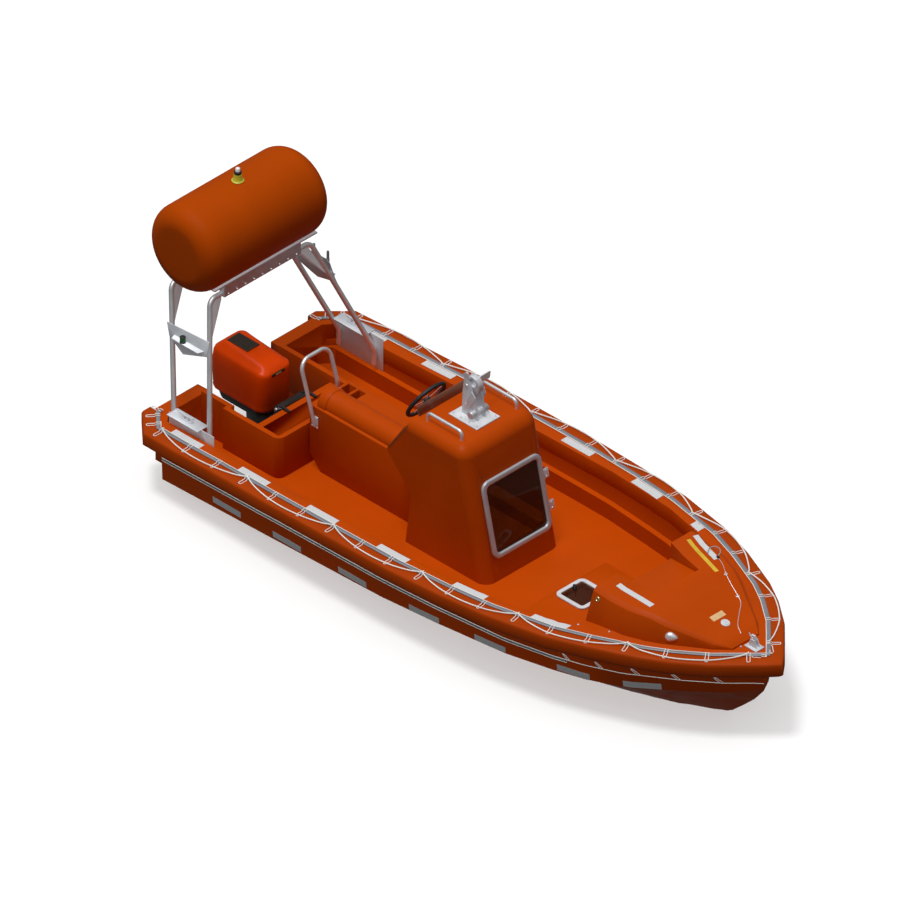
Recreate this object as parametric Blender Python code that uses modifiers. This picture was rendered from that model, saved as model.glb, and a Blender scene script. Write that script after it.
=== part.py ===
# Fast rescue boat with a centre console, an outboard engine in a stern well
# and a stern arch that carries the container of its self-righting bag.
# Metres, +X to the bow, +Y to port, +Z up, origin amidships at the waterline.

import bpy
import bmesh
from math import cos, pi, radians, sin
from mathutils import Matrix, Vector

# Driving dimensions
LENGTH = 6.54
STERN_X = -LENGTH / 2
GUNWALE_Z = 0.635
GAP = 0.0003
FENDER_WIDTH = 0.14
FENDER_HEIGHT = 0.153
TRANSOM = 0.31
SOLE = -0.37
INNER_LEDGE = -0.21
LEDGE_STEP = 0.05
COCKPIT_FRONT = 4.90
COCKPIT_AFT = 0.20
STERN_BOX_AFT = 0.07
STERN_BOX_FLOOR = 0.05
WELL_HALF = 0.40
WELL_FRONT = 0.80
WELL_RIM = 0.04
WELL_WALL = 0.045
TROUGH_FRONT = 1.16
BOARD_THICK = 0.06
BOARD_TOP = -0.03
FLOOR_PANEL = 0.04
CONSOLE_HALF = 0.444
CONSOLE_WALL = 0.02
CONSOLE_TOP = 0.875
CONSOLE_ROUND = 0.11
SEAT_HALF = 0.238
SEAT_TOP = 0.27
POST_RADIUS = 0.0235
CANISTER_RADIUS = 0.40
CANISTER_HALF = 0.734
CANISTER_ROUND = 0.17
CANISTER_X = 0.131
CANISTER_HEIGHT = 1.503

# Half-breadth of the gunwale's outer edge against the distance from the stern
GUNWALE_EDGE = [(0.0, 0.93), (0.0, 1.025), (0.25, 1.26), (0.65, 1.273), (1.02, 1.274), (1.67, 1.29),
                (2.39, 1.29), (3.15, 1.285), (3.71, 1.256), (4.19, 1.211), (4.81, 1.091),
                (5.17, 0.965), (5.61, 0.778), (5.84, 0.646), (6.11, 0.448), (6.23, 0.33),
                (6.44, 0.12), (LENGTH, 0.0)]
# Height of the gunwale's top over its height at the stern
SHEER = [(0.0, 0.0), (0.65, 0.022), (1.7, 0.055), (3.15, 0.082), (4.2, 0.112), (4.8, 0.130),
         (5.2, 0.146), (5.6, 0.157), (6.0, 0.163), (LENGTH, 0.165)]
# Half-breadth of the cockpit between the side decks
COCKPIT_EDGE = [(COCKPIT_AFT, 0.90), (0.28, 1.0), (0.9, 1.006), (1.7, 1.018), (3.2, 1.028),
                (3.5, 1.026), (3.98, 0.993), (4.24, 0.969), (4.6, 0.888), (COCKPIT_FRONT, 0.79)]
# Bottom of the hull: keel height, and half-breadth and height of the chine
KEEL = [(TRANSOM, -0.98), (3.5, -0.98), (4.4, -0.958), (5.118, -0.914), (5.478, -0.82), (5.73, -0.733),
        (5.947, -0.60), (6.18, -0.39), (6.325, -0.208), (6.36, -0.114)]
CHINE_BREADTH = [(TRANSOM, 1.09), (1.5, 1.10), (2.9, 1.10), (3.54, 1.075), (4.29, 1.02), (4.77, 0.93),
                 (5.07, 0.85), (5.39, 0.72), (5.82, 0.45), (6.09, 0.247), (6.31, 0.03), (6.36, 0.012)]
CHINE_HEIGHT = [(TRANSOM, -0.52), (1.5, -0.47), (2.9, -0.42), (3.54, -0.385), (4.29, -0.345),
                (4.77, -0.32), (5.39, -0.29), (5.82, -0.25), (6.09, -0.23), (6.31, -0.19), (6.36, -0.09)]
# Raised foredeck: half-breadth and height of its top edge
TRUNK_BREADTH = [(COCKPIT_FRONT, 0.585), (5.07, 0.57), (5.28, 0.55), (5.475, 0.492), (5.6, 0.446),
                 (5.97, 0.25), (6.10, 0.15)]
TRUNK_HEIGHT = [(COCKPIT_FRONT, 0.425), (5.07, 0.395), (5.28, 0.387), (5.475, 0.375), (5.6, 0.337),
                (5.97, 0.224), (6.10, 0.18)]
TRUNK_LEAN = 0.36


def ahead(distance):
    """Place along the boat, from a distance forward of the stern."""
    return STERN_X + distance


def up(height):
    """Height over the waterline, from a height over the stern gunwale."""
    return GUNWALE_Z + height


def spot(distance, breadth, height):
    return Vector((ahead(distance), breadth, up(height)))


def read(table, distance):
    """Straight interpolation in a table of (distance, value)."""
    if distance <= table[0][0]:
        return table[0][1]
    for (a, low), (b, high) in zip(table, table[1:]):
        if distance <= b:
            return low + (high - low) * (distance - a) / (b - a)
    return table[-1][1]


def start_collections():
    for thing in list(bpy.data.objects):
        bpy.data.objects.remove(thing)
    collections = []
    for name in ("fast_rescue_boat", "cutters"):
        collection = bpy.data.collections.new(name)
        bpy.context.scene.collection.children.link(collection)
        collections.append(collection)
    return collections


BOAT, CUTTERS = start_collections()


def material(name, colour, roughness, metallic=0.0):
    made = bpy.data.materials.new(name)
    made.use_nodes = True
    shader = made.node_tree.nodes["Principled BSDF"]
    shader.inputs["Base Color"].default_value = (*colour, 1.0)
    shader.inputs["Roughness"].default_value = roughness
    shader.inputs["Metallic"].default_value = metallic
    return made


HULL_ORANGE = material("hull_orange", (0.62, 0.14, 0.01), 0.4)
DECK_ORANGE = material("deck_orange", (0.66, 0.15, 0.01), 0.5)
FENDER_ORANGE = material("fender_orange", (0.60, 0.13, 0.01), 0.55)
ENGINE_RED = material("engine_red", (0.60, 0.07, 0.01), 0.3)
METAL = material("metal", (0.62, 0.63, 0.65), 0.35, 0.9)
PLATE_METAL = material("plate_metal", (0.55, 0.56, 0.58), 0.4, 0.8)
RUBBER = material("black_rubber", (0.02, 0.02, 0.02), 0.7)
ENGINE_BLACK = material("engine_black", (0.03, 0.03, 0.035), 0.45)
PANE = material("tinted_pane", (0.06, 0.03, 0.02), 0.1)
LIGHT_PLASTIC = material("light_plastic", (0.75, 0.75, 0.74), 0.5)
BEACON_GREEN = material("beacon_base", (0.55, 0.6, 0.1), 0.4)
LAMP_GREEN = material("lamp_green", (0.02, 0.3, 0.06), 0.3)
LAMP_RED = material("lamp_red", (0.45, 0.02, 0.02), 0.3)


def finish(name, bm, look, cutter=False):
    """Turn a bmesh into a named object with its material."""
    bmesh.ops.remove_doubles(bm, verts=bm.verts, dist=1e-6)
    bmesh.ops.recalc_face_normals(bm, faces=bm.faces)
    mesh = bpy.data.meshes.new(name)
    bm.to_mesh(mesh)
    bm.free()
    made = bpy.data.objects.new(name, mesh)
    if cutter:
        CUTTERS.objects.link(made)
        made.hide_render = True
        made.display_type = "WIRE"
        return made
    BOAT.objects.link(made)
    mesh.materials.append(look)
    mesh.shade_smooth()
    mesh.set_sharp_from_angle(angle=radians(35))
    return made


def loft(bm, rings):
    """Skin closed rings of equal length and cap both ends."""
    rows = [[bm.verts.new(point) for point in ring] for ring in rings]
    count = len(rows[0])
    for low, high in zip(rows, rows[1:]):
        for i in range(count):
            j = (i + 1) % count
            bm.faces.new((low[i], low[j], high[j], high[i]))
    bm.faces.new(rows[0])
    bm.faces.new(rows[-1])


def prism_up(bm, outline, low, high):
    """Upright prism on a plan outline of (distance, breadth)."""
    loft(bm, [[spot(d, b, h) for d, b in outline] for h in (low, high)])


def prism_across(bm, outline, near, far):
    """Prism across the boat on a side outline of (distance, height)."""
    loft(bm, [[spot(d, b, h) for d, h in outline] for b in (near, far)])


def block(bm, distances, breadths, heights):
    """Box between two distances, two breadths and two heights."""
    size = [abs(pair[1] - pair[0]) for pair in (distances, breadths, heights)]
    middle = spot(*[sum(pair) / 2 for pair in (distances, breadths, heights)])
    bmesh.ops.create_cube(bm, size=1.0, matrix=Matrix.Translation(middle) @ Matrix.Diagonal((*size, 1.0)))


def rod(bm, start, end, radius, tip_radius=None, sides=16):
    """Cylinder or cone between two points."""
    start, end = Vector(start), Vector(end)
    along = end - start
    turn = along.to_track_quat("Z", "Y").to_matrix().to_4x4()
    bmesh.ops.create_cone(bm, cap_ends=True, segments=sides, radius1=radius,
                          radius2=radius if tip_radius is None else tip_radius, depth=along.length,
                          matrix=Matrix.Translation((start + end) / 2) @ turn)


def rounded(points, radius, steps=4):
    """Replace the inner corners of a path by arcs."""
    path = [Vector(points[0])]
    for before, corner, after in zip(points, points[1:], points[2:]):
        before, corner, after = Vector(before), Vector(corner), Vector(after)
        back = (before - corner).normalized()
        on = (after - corner).normalized()
        half = back.angle(on) / 2
        reach = min(radius / max(1e-6, abs(sin(half) / cos(half))), (before - corner).length * 0.49,
                    (after - corner).length * 0.49)
        centre_way = (back + on).normalized()
        bend = reach * sin(half) / cos(half)
        centre = corner + centre_way * (reach / cos(half))
        first = corner + back * reach - centre
        last = corner + on * reach - centre
        for i in range(steps + 1):
            arm = first.slerp(last, i / steps)
            path.append(centre + arm.normalized() * bend)
    path.append(Vector(points[-1]))
    return path


def tube(name, points, radius, look, resolution=2):
    """Round tube along a path, as a curve with closed ends."""
    curve = bpy.data.curves.new(name, "CURVE")
    curve.dimensions = "3D"
    curve.bevel_depth = radius
    curve.bevel_resolution = resolution
    curve.use_fill_caps = True
    spline = curve.splines.new("POLY")
    spline.points.add(len(points) - 1)
    for point, place in zip(spline.points, points):
        point.co = (*place, 1.0)
    curve.materials.append(look)
    made = bpy.data.objects.new(name, curve)
    BOAT.objects.link(made)
    return made


def combine(target, tool, operation):
    modifier = target.modifiers.new(operation.lower(), "BOOLEAN")
    modifier.operation = operation
    modifier.object = tool
    modifier.solver = "EXACT"


def cut(target, *tools):
    for tool in tools:
        combine(target, tool, "DIFFERENCE")


def join(target, *tools):
    for tool in tools:
        combine(target, tool, "UNION")


def gunwale_path():
    """Plan path round the gunwale's outer edge, port stern to bow to starboard stern."""
    port = []
    for (a, b), (c, d) in zip(GUNWALE_EDGE, GUNWALE_EDGE[1:]):
        parts = max(1, round((Vector((c, d)) - Vector((a, b))).length / 0.25))
        port += [(a + (c - a) * i / parts, b + (d - b) * i / parts) for i in range(parts)]
    starboard = [(x, -y) for x, y in reversed(port)]
    return port + [GUNWALE_EDGE[-1]] + starboard


def inward(path, inset):
    """The path moved inward by an even distance, mitred at its corners."""
    moved = []
    for i, here in enumerate(path):
        here = Vector(here)
        ways = []
        if i > 0:
            ways.append((here - Vector(path[i - 1])).normalized())
        if i < len(path) - 1:
            ways.append((Vector(path[i + 1]) - here).normalized())
        sides = [Vector((way.y, -way.x)) for way in ways]
        middle = sum(sides, Vector((0, 0))).normalized()
        moved.append(here + middle * inset / max(0.7, middle.dot(sides[0])))
    return moved


def swept_strip(name, profile, look):
    """Strip round the gunwale with a profile of (inset, height over the sheer)."""
    path = gunwale_path()
    lines = [inward(path, inset) for inset, height in profile]
    rings = []
    for i in range(len(path)):
        rings.append([spot(line[i].x, line[i].y, read(SHEER, line[i].x) + height)
                      for line, (inset, height) in zip(lines, profile)])
    bm = bmesh.new()
    loft(bm, rings)
    return finish(name, bm, look)


def make_fender():
    soft, low = 0.03, 0.002 - FENDER_HEIGHT
    profile = [(0.0, -soft), (0.3 * soft, -0.3 * soft), (soft, 0.0), (FENDER_WIDTH, 0.0),
               (FENDER_WIDTH, low), (soft, low), (0.0, low + soft)]
    return swept_strip("fender", profile, FENDER_ORANGE)


def make_gunwale_rail():
    near, far, thick = 0.118, 0.152, 0.012
    seat = 5 * GAP
    profile = [(near, seat), (near, thick), (far, thick), (far, seat)]
    return swept_strip("gunwale_rail", profile, METAL)


def with_sheer(stations):
    """Stations with those where the sheer bends, so that all pieces follow it exactly."""
    low, high = min(stations), max(stations)
    bends = [d for d, height in SHEER if low < d < high]
    return sorted(set(stations) | set(bends))


def make_hull(name):
    bm = bmesh.new()
    stations = with_sheer([TRANSOM, 0.9, 1.5, 2.2, 2.9, 3.54, 3.9, 4.29, 4.55, 4.77, 5.07, 5.25, 5.39,
                           5.82, 5.95, 6.09, 6.2, 6.31, 6.36])
    flat, drop, flare = 0.03, 0.012, 0.012
    rings = []
    for d in stations:
        keel, chine_b, chine_h = read(KEEL, d), read(CHINE_BREADTH, d), read(CHINE_HEIGHT, d)
        top = read(SHEER, d) - FENDER_HEIGHT - GAP
        step = min(flat, chine_b * 0.3)
        half = [(0.012 * min(1.0, chine_b), keel), (chine_b - step, chine_h - min(drop, step)),
                (chine_b, chine_h), (chine_b + flare, top)]
        ring = [spot(d, b, h) for b, h in half]
        ring += [spot(d, -b, h) for b, h in reversed(half)]
        rings.append(ring)
    loft(bm, rings)
    return finish(name, bm, HULL_ORANGE)


def layer_cutter(name, low, high):
    """Everything between two heights, over the whole hull."""
    bm = bmesh.new()
    block(bm, (-0.5, LENGTH + 0.5), (-2.0, 2.0), (low, high))
    return finish(name, bm, None, cutter=True)


def deck_outline():
    """Half-breadths of the deck inside the fender, as (distance, breadth)."""
    inset = FENDER_WIDTH + GAP
    line = inward(gunwale_path(), inset)
    half = [(p.x + GAP, p.y) for p in line[1:] if p.y > 0.02]
    tip = max(p.x for p in line) - 0.006
    outline = [(STERN_BOX_AFT, 0.93 - GAP), (inset, 0.93 - GAP)] + half + [(tip, 0.004)]
    return [(d, read(outline, d)) for d in with_sheer([d for d, b in outline])]


def make_deck():
    outline = deck_outline()
    bm = bmesh.new()
    rings = []
    for d, b in outline:
        top = read(SHEER, d)
        low = top - FENDER_HEIGHT
        rings.append([spot(d, -b, low), spot(d, b, low), spot(d, b, top), spot(d, -b, top)])
    loft(bm, rings)
    deck = finish("deck", bm, DECK_ORANGE)
    bm = bmesh.new()
    block(bm, (STERN_BOX_AFT, TRANSOM - GAP), (-0.93 + GAP, 0.93 - GAP),
          (SOLE - STERN_BOX_FLOOR, -FENDER_HEIGHT / 2))
    wings = bmesh.new()
    block(wings, (STERN_BOX_AFT + 0.1, TRANSOM - GAP), (-1.03, 1.03),
          (SOLE - STERN_BOX_FLOOR, -FENDER_HEIGHT + 0.005))
    join(deck, finish("stern_box_tool", bm, None, cutter=True),
         finish("stern_wing_tool", wings, None, cutter=True))
    return deck


def cockpit_cutters():
    """Upper and lower cutters of the cockpit, with the ledge between them."""
    edge = COCKPIT_EDGE
    outer = edge + [(d, -b) for d, b in reversed(edge)]
    inner_half = [(d, b - LEDGE_STEP) for d, b in edge[:-1]]
    inner_half.append((COCKPIT_FRONT, edge[-1][1] - LEDGE_STEP))
    inner = inner_half + [(d, -b) for d, b in reversed(inner_half)]
    upper = bmesh.new()
    prism_up(upper, outer, INNER_LEDGE, 0.6)
    lower = bmesh.new()
    prism_up(lower, inner, SOLE, INNER_LEDGE + 0.01)
    return (finish("cockpit_upper", upper, None, cutter=True),
            finish("cockpit_lower", lower, None, cutter=True))


def well_cutter(name, half, front):
    bm = bmesh.new()
    block(bm, (-0.3, front), (-half, half), (-1.4, 0.6))
    return finish(name, bm, None, cutter=True)


def make_engine_well():
    """Coaming of the engine well, its board and the trough ahead of the board."""
    aft, step, front = COCKPIT_AFT + GAP, 0.50, TROUGH_FRONT
    port, narrow, wide = 0.445, -0.519, -0.567
    corner = 0.07
    arc = [(radians(90) * i / 4) for i in range(5)]
    outline = [(aft, port)]
    outline += [(front - corner + corner * sin(a), port - corner + corner * cos(a)) for a in arc]
    outline += [(front - corner + corner * cos(a), wide + corner - corner * sin(a)) for a in arc]
    outline += [(step, wide), (step, narrow), (aft, narrow)]
    bm = bmesh.new()
    prism_up(bm, outline, SOLE + GAP, WELL_RIM)
    well = finish("engine_well", bm, DECK_ORANGE)
    inner_port = port - WELL_WALL
    inner_narrow, inner_wide = narrow + WELL_WALL, wide + WELL_WALL
    pocket = bmesh.new()
    prism_up(pocket, [(-0.2, inner_port), (WELL_FRONT, inner_port), (WELL_FRONT, inner_wide),
                      (step + WELL_WALL, inner_wide), (step + WELL_WALL, inner_narrow),
                      (-0.2, inner_narrow)], SOLE - 0.1, 0.3)
    trough = bmesh.new()
    block(trough, (WELL_FRONT + BOARD_THICK, front - WELL_WALL), (inner_wide, inner_port),
          (SOLE + 0.04, 0.3))
    board = bmesh.new()
    block(board, (WELL_FRONT - 0.02, WELL_FRONT + BOARD_THICK + 0.02), (inner_wide + GAP, inner_port),
          (BOARD_TOP, 0.3))
    cut(well, finish("well_pocket", pocket, None, cutter=True),
        finish("trough_pocket", trough, None, cutter=True),
        finish("board_top", board, None, cutter=True))
    return well


def make_trunk():
    """Raised foredeck with the shallow recess at its aft middle."""
    bm = bmesh.new()
    rings = []
    for d in with_sheer([d for d, b in TRUNK_BREADTH]):
        top, breadth = read(TRUNK_HEIGHT, d), read(TRUNK_BREADTH, d)
        low = read(SHEER, d) + GAP
        soft = min(0.03, (top - low) * 0.3)
        half = [(breadth + TRUNK_LEAN * (top - low), low), (breadth + 0.4 * soft, top - soft),
                (breadth - soft, top)]
        rings.append([spot(d, b, h) for b, h in half] + [spot(d, -b, h) for b, h in reversed(half)])
    loft(bm, rings)
    trunk = finish("foredeck", bm, DECK_ORANGE)
    recess = bmesh.new()
    sections = [(COCKPIT_FRONT - 0.05, 0.326, 0.255), (5.30, 0.244, 0.345)]
    loft(recess, [[spot(d, -b, low), spot(d, b, low), spot(d, b, 0.6), spot(d, -b, 0.6)]
                  for d, b, low in sections])
    cut(trunk, finish("foredeck_recess", recess, None, cutter=True))
    return trunk


def make_floor_panel():
    """Raised floor panel ahead of the console, with the hatch opening."""
    bm = bmesh.new()
    block(bm, (3.96, COCKPIT_FRONT - GAP), (-0.49, 0.49), (SOLE + GAP, SOLE + FLOOR_PANEL))
    panel = finish("floor_panel", bm, DECK_ORANGE)
    hole = bmesh.new()
    block(hole, (4.05, 4.27), (-0.10, 0.12), (SOLE + 0.012, 0.0))
    cut(panel, finish("hatch_hole", hole, None, cutter=True))
    return panel


def rounded_frame(bm, distances, breadths, heights, bar, corner):
    """Flat frame with round corners, as an outer and an inner outline joined."""
    def outline(inset):
        radius = max(0.004, corner - inset)
        d0, d1 = distances[0] + inset, distances[1] - inset
        b0, b1 = breadths[0] + inset, breadths[1] - inset
        centres = [(d1 - radius, b1 - radius, 0), (d0 + radius, b1 - radius, 1),
                   (d0 + radius, b0 + radius, 2), (d1 - radius, b0 + radius, 3)]
        points = []
        for cd, cb, quarter in centres:
            for i in range(5):
                angle = radians(90) * (quarter + i / 4)
                points.append((cd + radius * cos(angle), cb + radius * sin(angle)))
        return points
    ring_frame(bm, outline(0.0), outline(bar), lambda p, h: spot(p[0], p[1], h), heights)


def ring_frame(bm, outer, inner, place, levels):
    """Closed ring between two outlines and two levels."""
    low, high = levels
    rows = [[bm.verts.new(place(p, h)) for p in line]
            for line, h in ((outer, low), (outer, high), (inner, high), (inner, low))]
    count = len(outer)
    for a, b in zip(rows, rows[1:] + rows[:1]):
        for i in range(count):
            j = (i + 1) % count
            bm.faces.new((a[i], a[j], b[j], b[i]))


def make_hatch():
    top = SOLE + FLOOR_PANEL
    bm = bmesh.new()
    rounded_frame(bm, (3.99, 4.33), (-0.16, 0.18), (top + GAP, top + 0.022), 0.04, 0.06)
    frame = finish("hatch_frame", bm, LIGHT_PLASTIC)
    bm = bmesh.new()
    block(bm, (4.036, 4.284), (-0.114, 0.134), (top + GAP, top + 0.014))
    lid = finish("hatch_lid", bm, PANE)
    bm = bmesh.new()
    rod(bm, spot(4.06, 0.02, top + 0.014 + GAP), spot(4.06, 0.02, top + 0.05), 0.02, 0.016)
    latch = finish("hatch_latch", bm, RUBBER)
    return frame, lid, latch


FRONT_RAKE = 0.224
CONSOLE_SIDE = [(3.48, SOLE + GAP), (3.48 - FRONT_RAKE * (CONSOLE_TOP - SOLE), CONSOLE_TOP),
                (2.57, CONSOLE_TOP), (2.32, 0.49), (2.31, 0.46), (2.60, 0.15), (2.53, SOLE + GAP)]
DOOR_MIDDLE_B = 0.0225
DOOR_HALF = 0.3475
DOOR_LOW, DOOR_HIGH = -0.175, 0.53
DOOR_BAR = 0.048
DOOR_PIN = 0.006
DOOR_AXIS_OUT = 0.018


def on_front(breadth, height, out):
    """Point on the console's raked front face, moved out along its normal."""
    foot, top = CONSOLE_SIDE[0], CONSOLE_SIDE[1]
    share = (height - foot[1]) / (top[1] - foot[1])
    distance = foot[0] + (top[0] - foot[0]) * share
    normal = Vector((1.0, 0.0, FRONT_RAKE)).normalized()
    return spot(distance, breadth, height) + normal * out


def door_outline(half, low, high, corner):
    points = []
    centres = [(half - corner, high - corner, 0), (corner - half, high - corner, 1),
               (corner - half, low + corner, 2), (half - corner, low + corner, 3)]
    for cb, ch, quarter in centres:
        for i in range(5):
            angle = radians(90) * (quarter + i / 4)
            points.append((DOOR_MIDDLE_B + cb + corner * cos(angle), ch + corner * sin(angle)))
    return points


def console_body():
    """Console shell: a rounded box, open below, with walls of real thickness."""
    bm = bmesh.new()
    prism_across(bm, CONSOLE_SIDE, -CONSOLE_HALF, CONSOLE_HALF)
    bm.normal_update()
    round_edges = []
    for edge in bm.edges:
        ends = [vert.co for vert in edge.verts]
        high = all(co.z > up(CONSOLE_TOP) - 0.001 for co in ends)
        front = all(co.x > ahead(3.1) for co in ends) and abs(ends[0].y - ends[1].y) < 0.001
        if (high or front) and not all(co.x < ahead(2.6) for co in ends):
            round_edges.append(edge)
    bmesh.ops.bevel(bm, geom=round_edges, offset=CONSOLE_ROUND, segments=4, profile=0.5,
                    affect="EDGES", clamp_overlap=True)
    bm.normal_update()
    floor = [face for face in bm.faces if face.normal.z < -0.99 and face.calc_center_median().z < up(-0.3)]
    bmesh.ops.delete(bm, geom=floor, context="FACES")
    console = finish("console", bm, DECK_ORANGE)
    shell = console.modifiers.new("wall", "SOLIDIFY")
    shell.thickness = CONSOLE_WALL
    shell.offset = -1
    shell.use_even_offset = True
    opening = bmesh.new()
    hole = door_outline(DOOR_HALF - DOOR_BAR, DOOR_LOW + DOOR_BAR, DOOR_HIGH - DOOR_BAR, 0.05)
    loft(opening, [[on_front(b, h, out) for b, h in hole] for out in (-0.1, 0.1)])
    cut(console, finish("door_hole", opening, None, cutter=True))
    return console


def make_console_door():
    """Front door: a tube-like frame with its pane, hung on the port side."""
    bm = bmesh.new()
    outer = door_outline(DOOR_HALF, DOOR_LOW, DOOR_HIGH, 0.075)
    inner = door_outline(DOOR_HALF - DOOR_BAR, DOOR_LOW + DOOR_BAR, DOOR_HIGH - DOOR_BAR, 0.04)
    ring_frame(bm, outer, inner, lambda p, out: on_front(p[0], p[1], out), (GAP, 0.034))
    frame = finish("door_frame", bm, METAL)
    bm = bmesh.new()
    pane = door_outline(DOOR_HALF - DOOR_BAR - GAP, DOOR_LOW + DOOR_BAR + GAP,
                        DOOR_HIGH - DOOR_BAR - GAP, 0.04)
    loft(bm, [[on_front(b, h, out) for b, h in pane] for out in (0.008, 0.016)])
    glass = finish("door_pane", bm, PANE)
    pin_b = DOOR_MIDDLE_B + DOOR_HALF + DOOR_PIN
    hinges = []
    for height, label in ((0.02, "low"), (0.31, "high")):
        bm = bmesh.new()
        plate = [(pin_b + 0.003, height - 0.04), (pin_b + 0.056, height - 0.04),
                 (pin_b + 0.056, height + 0.04), (pin_b + 0.003, height + 0.04)]
        loft(bm, [[on_front(b, h, out) for b, h in plate] for out in (GAP, 0.016)])
        hinge = finish("door_hinge_" + label, bm, METAL)
        pin = bmesh.new()
        rod(pin, on_front(pin_b, height - 0.045, DOOR_AXIS_OUT),
            on_front(pin_b, height + 0.045, DOOR_AXIS_OUT), DOOR_PIN - 0.0005)
        join(hinge, finish("pin_tool_" + label, pin, None, cutter=True))
        hinges.append(hinge)
    return frame, glass, hinges


def make_windscreen():
    """Low tinted strip along the console's aft top edge and down its sides."""
    thick, rise = 0.008, 0.085
    top = [(2.57, CONSOLE_TOP + GAP), (2.575 + thick, CONSOLE_TOP + GAP),
           (2.55 + thick, CONSOLE_TOP + rise), (2.55, CONSOLE_TOP + rise)]
    bm = bmesh.new()
    prism_across(bm, top, -0.33, 0.33)
    return finish("windscreen", bm, PANE)


WHEEL_CENTRE = (2.33, 0.0, 0.76)
WHEEL_TILT = radians(28)
WHEEL_RADIUS = 0.195


def dash_reach(start, way, radius):
    """Length of a round column from its start to the sloping dash."""
    high, low = spot(2.57, 0, CONSOLE_TOP), spot(2.32, 0, 0.49)
    normal = (high - low).cross(Vector((0, 1, 0))).normalized()
    slant = abs(way.dot(normal))
    tilt = (1 - slant * slant) ** 0.5 / slant
    return abs((high - start).dot(normal)) / slant - radius * tilt - GAP


def make_wheel():
    """Steering wheel: rim, hub and five spokes joined, and its column."""
    axis = Vector((-cos(WHEEL_TILT), 0.0, sin(WHEEL_TILT)))
    centre = spot(*WHEEL_CENTRE)
    turn = axis.to_track_quat("Z", "Y").to_matrix().to_4x4()
    frame = Matrix.Translation(centre) @ turn
    bm = bmesh.new()
    around, sides, thick = 28, 8, 0.016
    rings = []
    for i in range(around):
        angle = 2 * pi * i / around
        ring = []
        for j in range(sides):
            side = 2 * pi * j / sides
            reach = WHEEL_RADIUS + thick * cos(side)
            ring.append(frame @ Vector((reach * cos(angle), reach * sin(angle), thick * sin(side))))
        rings.append([bm.verts.new(p) for p in ring])
    for a, b in zip(rings, rings[1:] + rings[:1]):
        for j in range(sides):
            k = (j + 1) % sides
            bm.faces.new((a[j], b[j], b[k], a[k]))
    wheel = finish("steering_wheel", bm, RUBBER)
    hub = bmesh.new()
    rod(hub, frame @ Vector((0, 0, -0.035)), frame @ Vector((0, 0, 0.012)), 0.036)
    hub_tool = finish("hub_tool", hub, None, cutter=True)
    join(wheel, hub_tool)
    for i in range(5):
        angle = 2 * pi * i / 5
        way = Vector((cos(angle), sin(angle), 0))
        spoke = bmesh.new()
        rod(spoke, frame @ (way * 0.02), frame @ (way * WHEEL_RADIUS), 0.009, sides=8)
        join(wheel, finish("spoke_tool_%d" % i, spoke, None, cutter=True))
    bm = bmesh.new()
    start = frame @ Vector((0, 0, -0.035 - GAP))
    rod(bm, start, start - axis * dash_reach(start, -axis, 0.026), 0.026)
    column = finish("steering_column", bm, ENGINE_BLACK)
    return wheel, column


def make_pedestal():
    side = [(1.19, SEAT_TOP), (1.19, -0.23), (1.315, SOLE + GAP), (2.53 - GAP, SOLE + GAP),
            (2.60 - GAP, 0.15), (2.488 - GAP, SEAT_TOP)]
    bm = bmesh.new()
    prism_across(bm, side, -SEAT_HALF, SEAT_HALF)
    pedestal = finish("seat_pedestal", bm, DECK_ORANGE)
    for label, near, far in (("aft", 1.225, 1.315), ("fore", 1.345, 1.42)):
        pocket = bmesh.new()
        block(pocket, (near, far), (0.06, 0.20), (0.15, 0.4))
        cut(pedestal, finish("pocket_" + label, pocket, None, cutter=True))
    return pedestal


def make_seat():
    """Half-round seat roll with its raised aft collar, set to starboard."""
    middle, radius, collar = -0.09, 0.122, 0.012
    low = SEAT_TOP + GAP
    stations = [(1.26, radius - 0.02), (1.27, radius + collar), (1.355, radius + collar),
                (1.365, radius), (2.47, radius)]
    bm = bmesh.new()
    rings = []
    for d, r in stations:
        ring = []
        for i in range(13):
            angle = pi * i / 12
            height = r * sin(angle)
            rake = 0.935 * height if d > 2.0 else 0.0
            ring.append(spot(d - rake, middle + r * cos(angle), low + height))
        rings.append(ring)
    loft(bm, rings)
    return finish("seat", bm, DECK_ORANGE)


def make_hoop():
    side, inner, top = -(SEAT_HALF + 0.0265), 0.075, 0.665
    foot = SEAT_TOP + 0.006 + GAP
    path = [spot(1.285, side, 0.10), spot(1.108, side, top), spot(1.108, inner, top),
            spot(1.208, inner, 0.35), spot(1.208, inner, foot)]
    hoop = tube("grab_hoop", rounded(path, 0.10), 0.018, METAL)
    pads = []
    for label, distances, breadths, heights in (
            ("starboard", (1.222, 1.302), (-SEAT_HALF - GAP, -SEAT_HALF - 0.008), (0.06, 0.18)),
            ("port", (1.192, 1.2235), (0.05, 0.10), (SEAT_TOP + GAP, SEAT_TOP + 0.006))):
        bm = bmesh.new()
        block(bm, distances, breadths, heights)
        pads.append(finish("hoop_pad_" + label, bm, METAL))
    return hoop, pads


def make_handrails():
    rails = []
    for side, label in ((-1, "starboard"), (1, "port")):
        b, low, high = side * 0.318, CONSOLE_TOP + GAP, CONSOLE_TOP + 0.085
        path = [spot(2.68, b, low), spot(2.68, b, high), spot(3.07, b, high), spot(3.07, b, low)]
        rails.append(tube("handrail_" + label, rounded(path, 0.04), 0.014, METAL))
    return rails


HOOK_X = 2.90
HOOK_PIN = (HOOK_X - 0.045, 1.19)


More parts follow.
